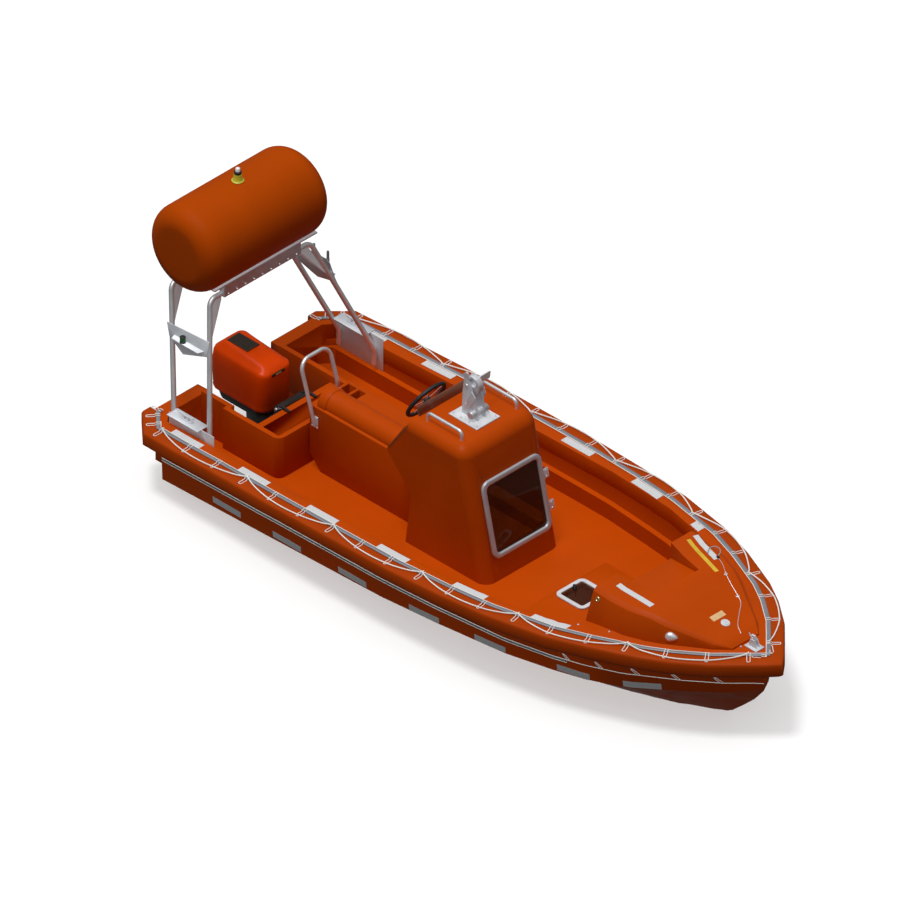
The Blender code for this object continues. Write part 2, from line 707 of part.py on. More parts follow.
def make_hook_base():
    base_top = CONSOLE_TOP + 0.012
    bm = bmesh.new()
    block(bm, (HOOK_X - 0.168, HOOK_X + 0.168), (-0.138, 0.138), (CONSOLE_TOP + GAP, base_top))
    base = finish("hook_base", bm, LIGHT_PLASTIC)
    for label, b in (("starboard", -0.048), ("port", 0.036)):
        cheek = bmesh.new()
        side = [(HOOK_X - 0.10, base_top - 0.004), (HOOK_X + 0.09, base_top - 0.004),
                (HOOK_X + 0.06, 1.08), (HOOK_X - 0.02, 1.24), (HOOK_X - 0.075, 1.25),
                (HOOK_X - 0.095, 1.10)]
        prism_across(cheek, side, b, b + 0.012)
        join(base, finish("cheek_tool_" + label, cheek, None, cutter=True))
    bar = bmesh.new()
    rod(bar, spot(HOOK_X + 0.045, -0.09, 0.945), spot(HOOK_X + 0.045, 0.09, 0.945), 0.034)
    pin = bmesh.new()
    rod(pin, spot(HOOK_PIN[0], -0.04, HOOK_PIN[1]), spot(HOOK_PIN[0], 0.04, HOOK_PIN[1]), 0.0118, sides=24)
    join(base, finish("bar_tool", bar, None, cutter=True), finish("hook_pin_tool", pin, None, cutter=True))
    return base


def make_lifting_hook():
    """Hook between the cheeks, on a pin across them, with its bill upward."""
    pin = HOOK_PIN
    outline = []
    for i in range(9):
        angle = radians(-60 + 240 * i / 8)
        outline.append((pin[0] + 0.045 + 0.085 * cos(angle), pin[1] + 0.01 + 0.085 * sin(angle)))
    outline += [(pin[0] - 0.03, pin[1] - 0.05), (pin[0] + 0.02, pin[1] - 0.10)]
    bm = bmesh.new()
    prism_across(bm, outline, -0.028, 0.028)
    hook = finish("lifting_hook", bm, METAL)
    notch = bmesh.new()
    rod(notch, spot(pin[0] + 0.055, -0.06, pin[1] + 0.035), spot(pin[0] + 0.055, 0.06, pin[1] + 0.035), 0.036)
    bore = bmesh.new()
    rod(bore, spot(pin[0], -0.06, pin[1]), spot(pin[0], 0.06, pin[1]), 0.0126, sides=24)
    cut(hook, finish("hook_throat", notch, None, cutter=True), finish("hook_bore", bore, None, cutter=True))
    return hook


def make_hook_lever():
    bm = bmesh.new()
    outline = [(HOOK_X + 0.0, 0.97), (HOOK_X + 0.07, 1.11), (HOOK_X + 0.02, 1.16), (HOOK_X - 0.07, 0.94)]
    prism_across(bm, outline, -0.060, -0.048 - GAP)
    return finish("hook_lever", bm, METAL)


POST_FOOT = (0.971, -0.007)
POST_LEAN = 0.348


def post_breadth(height):
    """Half-breadth of the posts' centre lines, which lean inboard as they rise."""
    return POST_FOOT[0] - POST_LEAN * (height - POST_FOOT[1])


def make_posts():
    """Four leaning posts that bend inboard onto the ends of the cradle beams."""
    posts = []
    for side, label in ((-1, "starboard"), (1, "port")):
        for end, foot, top, height in (("fore", 0.751, 0.370, 1.088), ("aft", 0.334, -0.07, 1.048)):
            path = [spot(foot, side * POST_FOOT[0], -0.15), spot(foot, side * POST_FOOT[0], POST_FOOT[1]),
                    spot(top, side * post_breadth(height), height),
                    spot(top, side * (0.45 + GAP), height)]
            posts.append(tube("arch_post_%s_%s" % (end, label), rounded(path, 0.09), POST_RADIUS, METAL, 3))
    return posts


def make_foot_plates():
    plates = []
    for side, label in ((-1, "starboard"), (1, "port")):
        wall = 1.0 - GAP
        bm = bmesh.new()
        block(bm, (0.30, 0.83), (side * (wall - 0.006), side * wall), (-0.205, 0.12))
        plate = finish("foot_plate_" + label, bm, PLATE_METAL)
        flange = bmesh.new()
        block(flange, (0.315, 0.68), (side * (wall - 0.085), side * (wall + 0.045)), (0.114, 0.122))
        join(plate, finish("flange_tool_" + label, flange, None, cutter=True))
        plates.append(plate)
    return plates


def make_cradle():
    """Two beams and two saddles under the container, cut to its round side."""
    bm = bmesh.new()
    block(bm, (0.345, 0.405), (-0.45, 0.45), (1.06, 1.19))
    cradle = finish("cradle", bm, PLATE_METAL)
    parts = [((-0.097, -0.043), (-0.45, 0.45), (1.02, 1.15)),
             ((0.33, 0.42), (-0.58, 0.63), (1.185, 1.20)),
             ((-0.12, -0.04), (-0.58, 0.63), (1.135, 1.155)),
             ((-0.08, 0.37), (-0.40, -0.34), (1.065, 1.13)),
             ((-0.08, 0.37), (0.34, 0.40), (1.065, 1.13))]
    for i, part in enumerate(parts):
        tool = bmesh.new()
        block(tool, *part)
        join(cradle, finish("cradle_tool_%d" % i, tool, None, cutter=True))
    tool = bmesh.new()
    rod(tool, spot(CANISTER_X, -0.9, CANISTER_HEIGHT), spot(CANISTER_X, 0.9, CANISTER_HEIGHT),
        CANISTER_RADIUS + GAP, sides=48)
    cut(cradle, finish("canister_space", tool, None, cutter=True))
    return cradle


def make_canister():
    """Container of the self-righting bag: a drum with well rounded ends."""
    bm = bmesh.new()
    around = 48
    profile = [(0.0, CANISTER_HALF)]
    for i in range(6):
        angle = radians(90) * i / 5
        profile.append((CANISTER_RADIUS - CANISTER_ROUND + CANISTER_ROUND * sin(angle),
                        CANISTER_HALF - CANISTER_ROUND + CANISTER_ROUND * cos(angle)))
    profile += [(r, -b) for r, b in reversed(profile)]
    rings = []
    for r, b in profile[1:-1]:
        rings.append([spot(CANISTER_X + r * cos(2 * pi * i / around), b,
                           CANISTER_HEIGHT + r * sin(2 * pi * i / around)) for i in range(around)])
    loft(bm, rings)
    return finish("canister", bm, HULL_ORANGE)


def make_beacon():
    top = CANISTER_HEIGHT + CANISTER_RADIUS
    bm = bmesh.new()
    rings = []
    around = 20
    for h, r in ((0.0, 0.054), (0.008, 0.054), (0.012, 0.046), (0.075, 0.038), (0.108, 0.034),
                 (0.110, 0.024), (0.128, 0.022), (0.133, 0.012)):
        rings.append([spot(CANISTER_X + r * cos(2 * pi * i / around), -0.02 + r * sin(2 * pi * i / around),
                           top + GAP + h) for i in range(around)])
    loft(bm, rings)
    return finish("beacon", bm, BEACON_GREEN)


SHELF_HEIGHT = 0.695


def bracket_reach():
    """Sideways step from a post's centre line to the plate on its outboard side."""
    flat = 0.0008
    return (POST_RADIUS - flat + GAP) * (1 + POST_LEAN ** 2) ** 0.5


def make_side_bracket(side, label):
    """Plate on the outboard side of the two posts, with its shelf."""
    reach = bracket_reach()
    thick = 0.006

    def lean(out, h):
        return side * (post_breadth(h) + out)
    bm = bmesh.new()
    corners = [(0.01, 0.76), (0.50, 0.785), (0.515, 0.665), (0.26, 0.582), (0.07, 0.666)]
    loft(bm, [[spot(d, lean(out, h), h) for d, h in corners] for out in (reach, reach + thick)])
    bracket = finish("side_bracket_" + label, bm, PLATE_METAL)
    shelf = bmesh.new()
    root = post_breadth(SHELF_HEIGHT) + reach + thick / 3
    outline = [(0.12, root), (0.47, root), (0.45, root + 0.06), (0.14, root + 0.06)]
    prism_up(shelf, [(d, side * b) for d, b in outline], SHELF_HEIGHT - thick, SHELF_HEIGHT)
    join(bracket, finish("shelf_tool_" + label, shelf, None, cutter=True))
    return bracket


def make_side_lamp(side, label, look):
    bm = bmesh.new()
    b = side * (post_breadth(SHELF_HEIGHT) + bracket_reach() + 0.037)
    rod(bm, spot(0.25, b, SHELF_HEIGHT + GAP), spot(0.25, b, SHELF_HEIGHT + 0.062), 0.028)
    return finish("side_lamp_" + label, bm, look)


COWL_AFT, COWL_FRONT, COWL_HALF = -0.065, 0.595, 0.185


def cowl_ring(height, aft, front, half, corner):
    points = []
    centres = [(front - corner, half - corner, 0), (aft + corner, half - corner, 1),
               (aft + corner, corner - half, 2), (front - corner, corner - half, 3)]
    for cd, cb, quarter in centres:
        for i in range(4):
            angle = radians(90) * (quarter + i / 3)
            points.append((cd + corner * cos(angle), cb + corner * sin(angle), height))
    return points


def make_outboard():
    """Outboard engine: cowl, pan, leg, swivel and clamp brackets, propeller."""
    rings = [cowl_ring(-0.20, COWL_AFT + 0.03, COWL_FRONT - 0.03, COWL_HALF - 0.02, 0.09),
             cowl_ring(-0.17, COWL_AFT, COWL_FRONT, COWL_HALF, 0.10),
             cowl_ring(0.06, COWL_AFT, COWL_FRONT, COWL_HALF, 0.10),
             cowl_ring(0.20, COWL_AFT + 0.04, COWL_FRONT - 0.01, COWL_HALF - 0.03, 0.08),
             cowl_ring(0.24, COWL_AFT + 0.12, COWL_FRONT - 0.06, COWL_HALF - 0.075, 0.06)]
    bm = bmesh.new()
    shaped = []
    for k, ring in enumerate(rings):
        crest = 0.06 if k == 4 else (0.03 if k == 3 else 0.0)
        shaped.append([spot(d, b, h + crest * sin(pi * min(1.0, max(0.0, (d - COWL_AFT) / 0.65))))
                       for d, b, h in ring])
    loft(bm, shaped)
    cowl = finish("cowl", bm, ENGINE_RED)
    bm = bmesh.new()
    pan = [cowl_ring(-0.30, 0.10, 0.50, 0.09, 0.05), cowl_ring(-0.24, 0.0, COWL_FRONT - 0.05, 0.15, 0.08),
           cowl_ring(-0.20 - GAP, -0.01, COWL_FRONT - 0.05, 0.155, 0.08)]
    loft(bm, [[spot(*p) for p in ring] for ring in pan])
    lower_pan = finish("lower_pan", bm, ENGINE_BLACK)
    return cowl, lower_pan


STEER_X = 0.60
YOKE_TOP, YOKE_LOW, YOKE_THICK = -0.34, -0.52, 0.03
PROP_HEIGHT = -1.16
PROP_X = 0.065


def make_leg():
    """Leg with its anti-ventilation plate, gear case and skeg."""
    def blade(aft, front, half, height):
        middle = (aft + front) / 2
        return [spot(aft, 0, height), spot(middle, half, height), spot(front - 0.02, half * 0.6, height),
                spot(front, 0, height), spot(front - 0.02, -half * 0.6, height), spot(middle, -half, height)]
    bm = bmesh.new()
    loft(bm, [blade(0.20, 0.50, 0.055, -0.30 - GAP), blade(0.22, 0.48, 0.045, -0.60),
              blade(0.22, 0.46, 0.035, -1.02), blade(0.24, 0.42, 0.025, PROP_HEIGHT + 0.013),
              blade(0.20, 0.30, 0.008, -1.36)])
    bmesh.ops.triangulate(bm, faces=bm.faces)
    leg = finish("leg", bm, ENGINE_BLACK)
    plate = bmesh.new()
    prism_up(plate, [(0.02, -0.06), (0.31, -0.11), (0.44, -0.05), (0.44, 0.05), (0.31, 0.11), (0.02, 0.06)],
             -0.972, -0.958)
    case = bmesh.new()
    loft(case, [[spot(d, r * cos(pi * (2 * i + 1) / 16), PROP_HEIGHT + r * sin(pi * (2 * i + 1) / 16))
                 for i in range(16)] for d, r in ((0.14, 0.055), (0.25, 0.06), (0.40, 0.055), (0.48, 0.03),
                                                  (0.505, 0.008))])
    join(leg, finish("plate_tool", plate, None, cutter=True), finish("case_tool", case, None, cutter=True))
    for label, low in (("top", YOKE_TOP), ("low", YOKE_LOW - YOKE_THICK)):
        yoke = bmesh.new()
        half = 0.032
        outline = [(0.37, -half), (STEER_X, -half)]
        outline += [(STEER_X + half * sin(radians(30 * i)), -half * cos(radians(30 * i))) for i in range(1, 6)]
        outline += [(STEER_X, half), (0.37, half)]
        prism_up(yoke, outline, low, low + YOKE_THICK)
        join(leg, finish("yoke_tool_" + label, yoke, None, cutter=True))
    return leg


def make_propeller():
    """Three-bladed propeller on its hub."""
    bm = bmesh.new()
    rod(bm, spot(0.0, 0, PROP_HEIGHT), spot(0.14 - GAP, 0, PROP_HEIGHT), 0.045, 0.053)
    propeller = finish("propeller", bm, METAL)
    for i in range(3):
        turn = Matrix.Rotation(2 * pi * i / 3, 4, "X")
        blade = bmesh.new()
        rings = []
        for reach, chord, pitch in ((0.03, 0.035, 50), (0.08, 0.055, 40), (0.13, 0.055, 30), (0.165, 0.025, 24)):
            slope = radians(pitch)
            ring = []
            for along, thick in ((-1, 0), (0, 0.006), (1, 0), (0, -0.006)):
                x = along * chord * sin(slope) + thick * cos(slope)
                y = along * chord * cos(slope) - thick * sin(slope)
                ring.append(turn @ Vector((x, y, reach)) + spot(PROP_X, 0, PROP_HEIGHT))
            rings.append(ring)
        loft(blade, rings)
        join(propeller, finish("blade_tool_%d" % i, blade, None, cutter=True))
    return propeller


TILT_X, TILT_HEIGHT = 0.73, -0.06
TILT_PIN = 0.011


def make_brackets():
    """Clamp bracket on the engine board, and the swivel bracket that tilts in it."""
    bm = bmesh.new()
    block(bm, (WELL_FRONT - 0.03, WELL_FRONT - GAP), (-0.17, 0.17), (-0.27, -0.02))
    clamp = finish("clamp_bracket", bm, ENGINE_BLACK)
    for label, b in (("starboard", -0.165), ("port", 0.145)):
        ear = bmesh.new()
        side = [(TILT_X - 0.03, -0.27), (WELL_FRONT - 0.01, -0.27), (WELL_FRONT - 0.01, BOARD_TOP + 0.02),
                (TILT_X + 0.02, TILT_HEIGHT + 0.03), (TILT_X - 0.03, TILT_HEIGHT + 0.015)]
        prism_across(ear, side, b, b + 0.02)
        hook = bmesh.new()
        side = [(WELL_FRONT - 0.02, BOARD_TOP + GAP), (WELL_FRONT + BOARD_THICK + 0.02, BOARD_TOP + GAP),
                (WELL_FRONT + BOARD_THICK + 0.02, BOARD_TOP + 0.02), (WELL_FRONT - 0.02, BOARD_TOP + 0.03)]
        prism_across(hook, side, b, b + 0.02)
        join(clamp, finish("ear_tool_" + label, ear, None, cutter=True),
             finish("over_tool_" + label, hook, None, cutter=True))
    pin = bmesh.new()
    rod(pin, spot(TILT_X, -0.16, TILT_HEIGHT), spot(TILT_X, 0.16, TILT_HEIGHT), TILT_PIN, sides=24)
    join(clamp, finish("tilt_pin_tool", pin, None, cutter=True))
    bm = bmesh.new()
    block(bm, (TILT_X - 0.025, TILT_X + 0.025), (-0.139, 0.139), (TILT_HEIGHT - 0.025, TILT_HEIGHT + 0.018))
    swivel = finish("swivel_bracket", bm, ENGINE_BLACK)
    tool = bmesh.new()
    side = [(TILT_X - 0.02, TILT_HEIGHT - 0.015), (TILT_X + 0.02, TILT_HEIGHT - 0.015), (0.70, YOKE_TOP),
            (0.68, YOKE_LOW + GAP), (STEER_X - 0.04, YOKE_LOW + GAP), (STEER_X - 0.04, YOKE_TOP - GAP),
            (0.665, YOKE_TOP - GAP), (0.665, -0.14)]
    prism_across(tool, side, -0.04, 0.04)
    bore = bmesh.new()
    rod(bore, spot(TILT_X, -0.2, TILT_HEIGHT), spot(TILT_X, 0.2, TILT_HEIGHT), TILT_PIN + 0.0008, sides=24)
    join(swivel, finish("swivel_tool", tool, None, cutter=True))
    cut(swivel, finish("tilt_bore", bore, None, cutter=True))
    return clamp, swivel


def make_bow_gear():
    """Painter hook and its base, filler cap, vent and small fittings."""
    bm = bmesh.new()
    deck_level = read(SHEER, 6.27)
    block(bm, (6.13, 6.27), (-0.05, 0.05), (deck_level + GAP, deck_level + 0.014))
    base = finish("painter_base", bm, PLATE_METAL)
    for label, b in (("starboard", -0.022), ("port", 0.014)):
        cheek = bmesh.new()
        side = [(6.15, deck_level + 0.01), (6.25, deck_level + 0.01), (6.22, deck_level + 0.085),
                (6.17, deck_level + 0.085)]
        prism_across(cheek, side, b, b + 0.008)
        join(base, finish("painter_cheek_" + label, cheek, None, cutter=True))
    pin_place = (6.195, deck_level + 0.045)
    pin = bmesh.new()
    rod(pin, spot(pin_place[0], -0.018, pin_place[1]), spot(pin_place[0], 0.018, pin_place[1]), 0.0045)
    join(base, finish("painter_pin_tool", pin, None, cutter=True))
    bm = bmesh.new()
    side = [(6.18, deck_level + 0.03), (6.21, deck_level + 0.03), (6.23, deck_level + 0.075),
            (6.21, deck_level + 0.12), (6.17, deck_level + 0.12), (6.175, deck_level + 0.10),
            (6.20, deck_level + 0.095), (6.205, deck_level + 0.075), (6.18, deck_level + 0.06)]
    prism_across(bm, side, -0.009, 0.009)
    hook = finish("painter_hook", bm, METAL)
    bore = bmesh.new()
    rod(bore, spot(pin_place[0], -0.02, pin_place[1]), spot(pin_place[0], 0.02, pin_place[1]), 0.005)
    cut(hook, finish("painter_bore", bore, None, cutter=True))
    return base, hook


def build():
    upper, lower = cockpit_cutters()
    well = well_cutter("hull_well", WELL_HALF, WELL_FRONT)
    cut(make_hull("hull"), well, layer_cutter("above_sole", SOLE, 1.0))
    cut(make_hull("hull_top"), upper, lower, well, layer_cutter("below_sole", -2.0, SOLE + GAP))
    deck = make_deck()
    cut(deck, upper, lower, well_cutter("deck_well", 0.43, 0.6))
    make_fender()
    make_gunwale_rail()
    make_engine_well()
    make_trunk()
    make_floor_panel()
    make_hatch()
    console_body()
    make_console_door()
    make_windscreen()
    make_wheel()
    make_pedestal()
    make_seat()
    make_hoop()
    make_handrails()
    make_hook_base()
    make_lifting_hook()
    make_hook_lever()
    make_posts()
    make_foot_plates()
    make_cradle()
    make_canister()
    make_beacon()
    for side, label, look in ((-1, "starboard", LAMP_GREEN), (1, "port", LAMP_RED)):
        make_side_bracket(side, label)
        make_side_lamp(side, label, look)
    make_outboard()
    make_leg()
    make_propeller()
    make_brackets()
    make_bow_gear()


build()
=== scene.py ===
# Looks of the fast rescue boat: finishes, lines, fittings and fine surfaces.
# Metres, +X to the bow, +Y to port, +Z up, origin amidships at the waterline.

from math import cos, pi, radians, sin

import bmesh
import bpy
from mathutils import Matrix, Vector


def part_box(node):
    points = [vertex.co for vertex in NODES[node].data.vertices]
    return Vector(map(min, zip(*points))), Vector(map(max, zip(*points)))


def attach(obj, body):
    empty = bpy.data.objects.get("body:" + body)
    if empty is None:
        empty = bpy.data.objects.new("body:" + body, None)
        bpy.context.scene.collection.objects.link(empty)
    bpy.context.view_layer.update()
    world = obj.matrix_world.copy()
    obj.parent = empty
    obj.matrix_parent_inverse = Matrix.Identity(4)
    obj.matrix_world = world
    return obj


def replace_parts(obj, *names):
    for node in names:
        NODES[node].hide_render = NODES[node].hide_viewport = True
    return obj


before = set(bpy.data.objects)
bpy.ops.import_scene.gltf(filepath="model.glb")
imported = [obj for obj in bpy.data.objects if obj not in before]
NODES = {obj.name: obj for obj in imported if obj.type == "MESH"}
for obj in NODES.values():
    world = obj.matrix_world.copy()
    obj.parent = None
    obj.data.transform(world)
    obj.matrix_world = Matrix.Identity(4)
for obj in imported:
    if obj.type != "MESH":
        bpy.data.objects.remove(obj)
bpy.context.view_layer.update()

# Driving sizes, the same as the solids have
LENGTH = 6.54
STERN_X = -LENGTH / 2
GUNWALE_Z = 0.635
FENDER_HEIGHT = 0.153
SOLE = -0.37
CONSOLE_TOP, CONSOLE_HALF = 0.875, 0.444
CONSOLE_FRONT, FRONT_RAKE = 3.48, 0.224
GAP = 0.0003
WELD = 0.00005
FLOOR_HALF = 60.0
RAIL_FAR, RAIL_TOP = 0.152, 0.012
GUNWALE_EDGE = [(0.0, 0.93), (0.0, 1.025), (0.25, 1.26), (0.65, 1.273), (1.02, 1.274), (1.67, 1.29),
                (2.39, 1.29), (3.15, 1.285), (3.71, 1.256), (4.19, 1.211), (4.81, 1.091),
                (5.17, 0.965), (5.61, 0.778), (5.84, 0.646), (6.11, 0.448), (6.23, 0.33),
                (6.44, 0.12), (LENGTH, 0.0)]
SHEER = [(0.0, 0.0), (0.65, 0.022), (1.7, 0.055), (3.15, 0.082), (4.2, 0.112), (4.8, 0.130),
         (5.2, 0.146), (5.6, 0.157), (6.0, 0.163), (LENGTH, 0.165)]
CHINE_BREADTH = [(0.31, 1.09), (1.5, 1.10), (2.9, 1.10), (3.54, 1.075), (4.29, 1.02), (4.77, 0.93),
                 (5.07, 0.85), (5.39, 0.72), (5.82, 0.45), (6.09, 0.247), (6.31, 0.03), (6.36, 0.012)]
CHINE_HEIGHT = [(0.31, -0.52), (1.5, -0.47), (2.9, -0.42), (3.54, -0.385), (4.29, -0.345),
                (4.77, -0.32), (5.39, -0.29), (5.82, -0.25), (6.09, -0.23), (6.31, -0.19), (6.36, -0.09)]
HULL_FLARE = 0.03
TRUNK_BREADTH = [(4.90, 0.585), (5.07, 0.57), (5.28, 0.55), (5.475, 0.492), (5.6, 0.446),
                 (5.97, 0.25), (6.10, 0.15)]
TRUNK_HEIGHT = [(4.90, 0.425), (5.07, 0.395), (5.28, 0.387), (5.475, 0.375), (5.6, 0.337),
                (5.97, 0.224), (6.10, 0.18)]
TRUNK_LEAN = 0.36
POST_FOOT, POST_LEAN, POST_RADIUS = (0.971, -0.007), 0.348, 0.0235
SIDES = ((-1, "starboard"), (1, "port"))
UP = Vector((0, 0, 1))


def spot(distance, breadth, height):
    """Point from a distance forward of the stern, a half-breadth and a height over the stern gunwale."""
    return Vector((STERN_X + distance, breadth, GUNWALE_Z + height))


def read(table, distance):
    """Straight interpolation in a table of (distance, value)."""
    if distance <= table[0][0]:
        return table[0][1]
    for (a, low), (b, high) in zip(table, table[1:]):
        if distance <= b:
            return low + (high - low) * (distance - a) / max(1e-9, b - a)
    return table[-1][1]


def circle(count):
    """Even angles round a circle."""
    return [2 * pi * i / count for i in range(count)]


# Materials

def shade(colour, factor):
    return tuple(min(1.0, c * factor) for c in colour)


class Nodes:
    """Small helper to wire the nodes of a material or a world."""

    def __init__(self, owner):
        self.owner = owner
        owner.use_nodes = True
        self.tree = owner.node_tree

    def feed(self, socket, value):
        """Give a socket a plain value, or link it to an output."""
        if isinstance(value, bpy.types.NodeSocket):
            self.tree.links.new(value, socket)
        else:
            socket.default_value = value

    def add(self, kind, **values):
        """New node with its settings and inputs by name."""
        node = self.tree.nodes.new(kind)
        for key, value in values.items():
            if hasattr(node, key):
                setattr(node, key, value)
            else:
                self.feed(node.inputs[key.replace("_", " ")], value)
        return node

    def place(self):
        """Coordinates of the object at rest, in metres."""
        return self.add("ShaderNodeTexCoord").outputs["Object"]

    def noise(self, scale, detail=3.0, roughness=0.55, stretch=None):
        """Noise value over the object, optionally stretched along its axes."""
        place = self.place()
        if stretch:
            place = self.add("ShaderNodeMapping", Vector=place, Scale=stretch).outputs["Vector"]
        return self.add("ShaderNodeTexNoise", Vector=place, Scale=scale, Detail=detail,
                        Roughness=roughness).outputs["Fac"]

    def cells(self, scale, **settings):
        """Distances in a pattern of small cells."""
        return self.add("ShaderNodeTexVoronoi", Vector=self.place(), Scale=scale,
                        **settings).outputs["Distance"]

    def part(self, value, **limits):
        return self.add("ShaderNodeMapRange", Value=value, **limits).outputs["Result"]

    def spread(self, low, high, *noise):
        """Noise whose values of 0.3 to 0.7 are mapped onto a range."""
        return self.part(self.noise(*noise), From_Min=0.3, From_Max=0.7, To_Min=low, To_Max=high)

    def tone(self, value, dark, light):
        """Colour between two colours by a value."""
        node = self.add("ShaderNodeMix", data_type="RGBA", Factor=value)
        ends = [socket for socket in node.inputs if socket.type == "RGBA"]
        ends[0].default_value, ends[1].default_value = (*dark, 1.0), (*light, 1.0)
        return next(socket for socket in node.outputs if socket.type == "RGBA")

    def mottle(self, colour, dark, light, *noise):
        """Colour that wanders between a darker and a lighter shade of itself."""
        return self.tone(self.spread(0.0, 1.0, *noise), shade(colour, dark), shade(colour, light))

    def bump(self, value, strength, distance, **before):
        return self.add("ShaderNodeBump", Height=value, Strength=strength, Distance=distance,
                        **before).outputs["Normal"]

    def finish(self, **values):
        """Set the shader's inputs by name and give the material."""
        for key, value in values.items():
            self.feed(self.tree.nodes["Principled BSDF"].inputs[key.replace("_", " ")], value)
        return self.owner


def new_look(name):
    return Nodes(bpy.data.materials.new(name))


def gelcoat(name, colour, roughness=0.36, nonskid=0.0, specular=0.05):
    """Moulded and coated laminate: faint mottling, fine orange peel, non-slip grain on top faces."""
    nodes = new_look(name)
    normal = nodes.bump(nodes.noise(90.0, 2.0), 0.10, 0.002)
    if nonskid:
        geometry = nodes.add("ShaderNodeNewGeometry")
        facing = nodes.add("ShaderNodeSeparateXYZ", Vector=geometry.outputs["Normal"])
        grain = nodes.add("ShaderNodeMath", operation="MULTIPLY")
        nodes.feed(grain.inputs[0], nodes.cells(170.0))
        nodes.feed(grain.inputs[1], nodes.part(facing.outputs["Z"], From_Min=0.90, From_Max=0.98))
        normal = nodes.bump(grain.outputs[0], nonskid, 0.003, Normal=normal)
    return nodes.finish(Base_Color=nodes.mottle(colour, 0.94, 1.05, 1.7, 4.0), Specular_IOR_Level=specular,
                        Roughness=nodes.spread(roughness - 0.06, roughness + 0.08, 6.0, 5.0), Normal=normal)


def sprayed_skin(name, colour):
    """Tough sprayed skin over foam: leathery grain, softer gloss, faint scuffs."""
    nodes = new_look(name)
    grain = nodes.bump(nodes.noise(240.0, 4.0, 0.7), 0.22, 0.0015)
    return nodes.finish(Base_Color=nodes.mottle(colour, 0.92, 1.04, 2.3, 5.0), Specular_IOR_Level=0.06,
                        Roughness=nodes.spread(0.45, 0.65, 9.0, 6.0),
                        Normal=nodes.bump(nodes.noise(32.0, 3.0), 0.12, 0.004, Normal=grain))


def brushed(name, colour, roughness=0.34, stretch=(1.0, 1.0, 24.0), metallic=1.0):
    """Brushed and passivated metal with a fine directional grain."""
    nodes = new_look(name)
    grain = 160.0, 3.0, 0.6, stretch
    return nodes.finish(Base_Color=nodes.mottle(colour, 0.90, 1.05, 7.0, 4.0), Metallic=metallic,
                        Roughness=nodes.spread(roughness - 0.07, roughness + 0.10, *grain),
                        Normal=nodes.bump(nodes.noise(*grain), 0.08, 0.001))


def plastic(name, colour, roughness=0.45):
    """Moulded plastic or rubber with a fine grain."""
    nodes = new_look(name)
    return nodes.finish(Base_Color=nodes.mottle(colour, 0.85, 1.15, 12.0, 4.0),
                        Roughness=nodes.spread(roughness - 0.05, roughness + 0.08, 20.0, 5.0),
                        Normal=nodes.bump(nodes.noise(300.0, 2.0), 0.15, 0.001))


def engine_paint(name, colour):
    """Glossy two-layer paint with a fine flake."""
    nodes = new_look(name)
    return nodes.finish(Base_Color=nodes.mottle(colour, 0.92, 1.06, 4.0, 3.0), Specular_IOR_Level=0.08,
                        Roughness=nodes.spread(0.30, 0.40, 700.0, 1.0), Coat_Weight=0.04, Coat_Roughness=0.15,
                        Normal=nodes.bump(nodes.noise(60.0, 2.0), 0.05, 0.001))


def reflective_tape(name, colour):
    """Retro-reflective sheeting with its fine cell pattern."""
    nodes = new_look(name)
    line = nodes.part(nodes.cells(210.0, feature="DISTANCE_TO_EDGE"), From_Max=0.12)
    return nodes.finish(Base_Color=nodes.tone(line, shade(colour, 0.72), colour),
                        Roughness=nodes.spread(0.25, 0.4, 30.0, 4.0), Normal=nodes.bump(line, 0.2, 0.0006))


def woven_rope(name, colour):
    """Synthetic rope yarn: fine fibres, matt, faintly soiled."""
    nodes = new_look(name)
    return nodes.finish(Base_Color=nodes.mottle(colour, 0.84, 1.0, 5.0, 5.0), Roughness=0.78,
                        Sheen_Weight=0.3, Normal=nodes.bump(nodes.noise(900.0, 2.0), 0.35, 0.0008))


def tinted_pane(name, colour, cover):
    """Dark tinted acrylic sheet, faintly marked by wiping."""
    nodes = new_look(name)
    wipe = 14.0, 5.0, 0.6, (1.0, 6.0, 1.0)
    return nodes.finish(Base_Color=nodes.mottle(colour, 0.95, 1.05, *wipe), Alpha=cover,
                        Roughness=nodes.spread(0.04, 0.12, *wipe), Specular_IOR_Level=0.3)


def lamp_lens(name, colour, glow):
    """Coloured lens with moulded rings."""
    nodes = new_look(name)
    rings = nodes.add("ShaderNodeTexWave", Vector=nodes.place(), Scale=55.0, bands_direction="Z")
    wave = rings.outputs["Fac"]
    return nodes.finish(Base_Color=nodes.tone(wave, shade(colour, 0.8), colour), Roughness=0.15,
                        Emission_Color=(*colour, 1.0), Emission_Strength=glow,
                        Normal=nodes.bump(wave, 0.3, 0.002))


def floor_matt(name, colour):
    """Plain pale studio floor."""
    nodes = new_look(name)
    return nodes.finish(Base_Color=nodes.mottle(colour, 0.995, 1.0, 0.8, 3.0), Roughness=0.9)


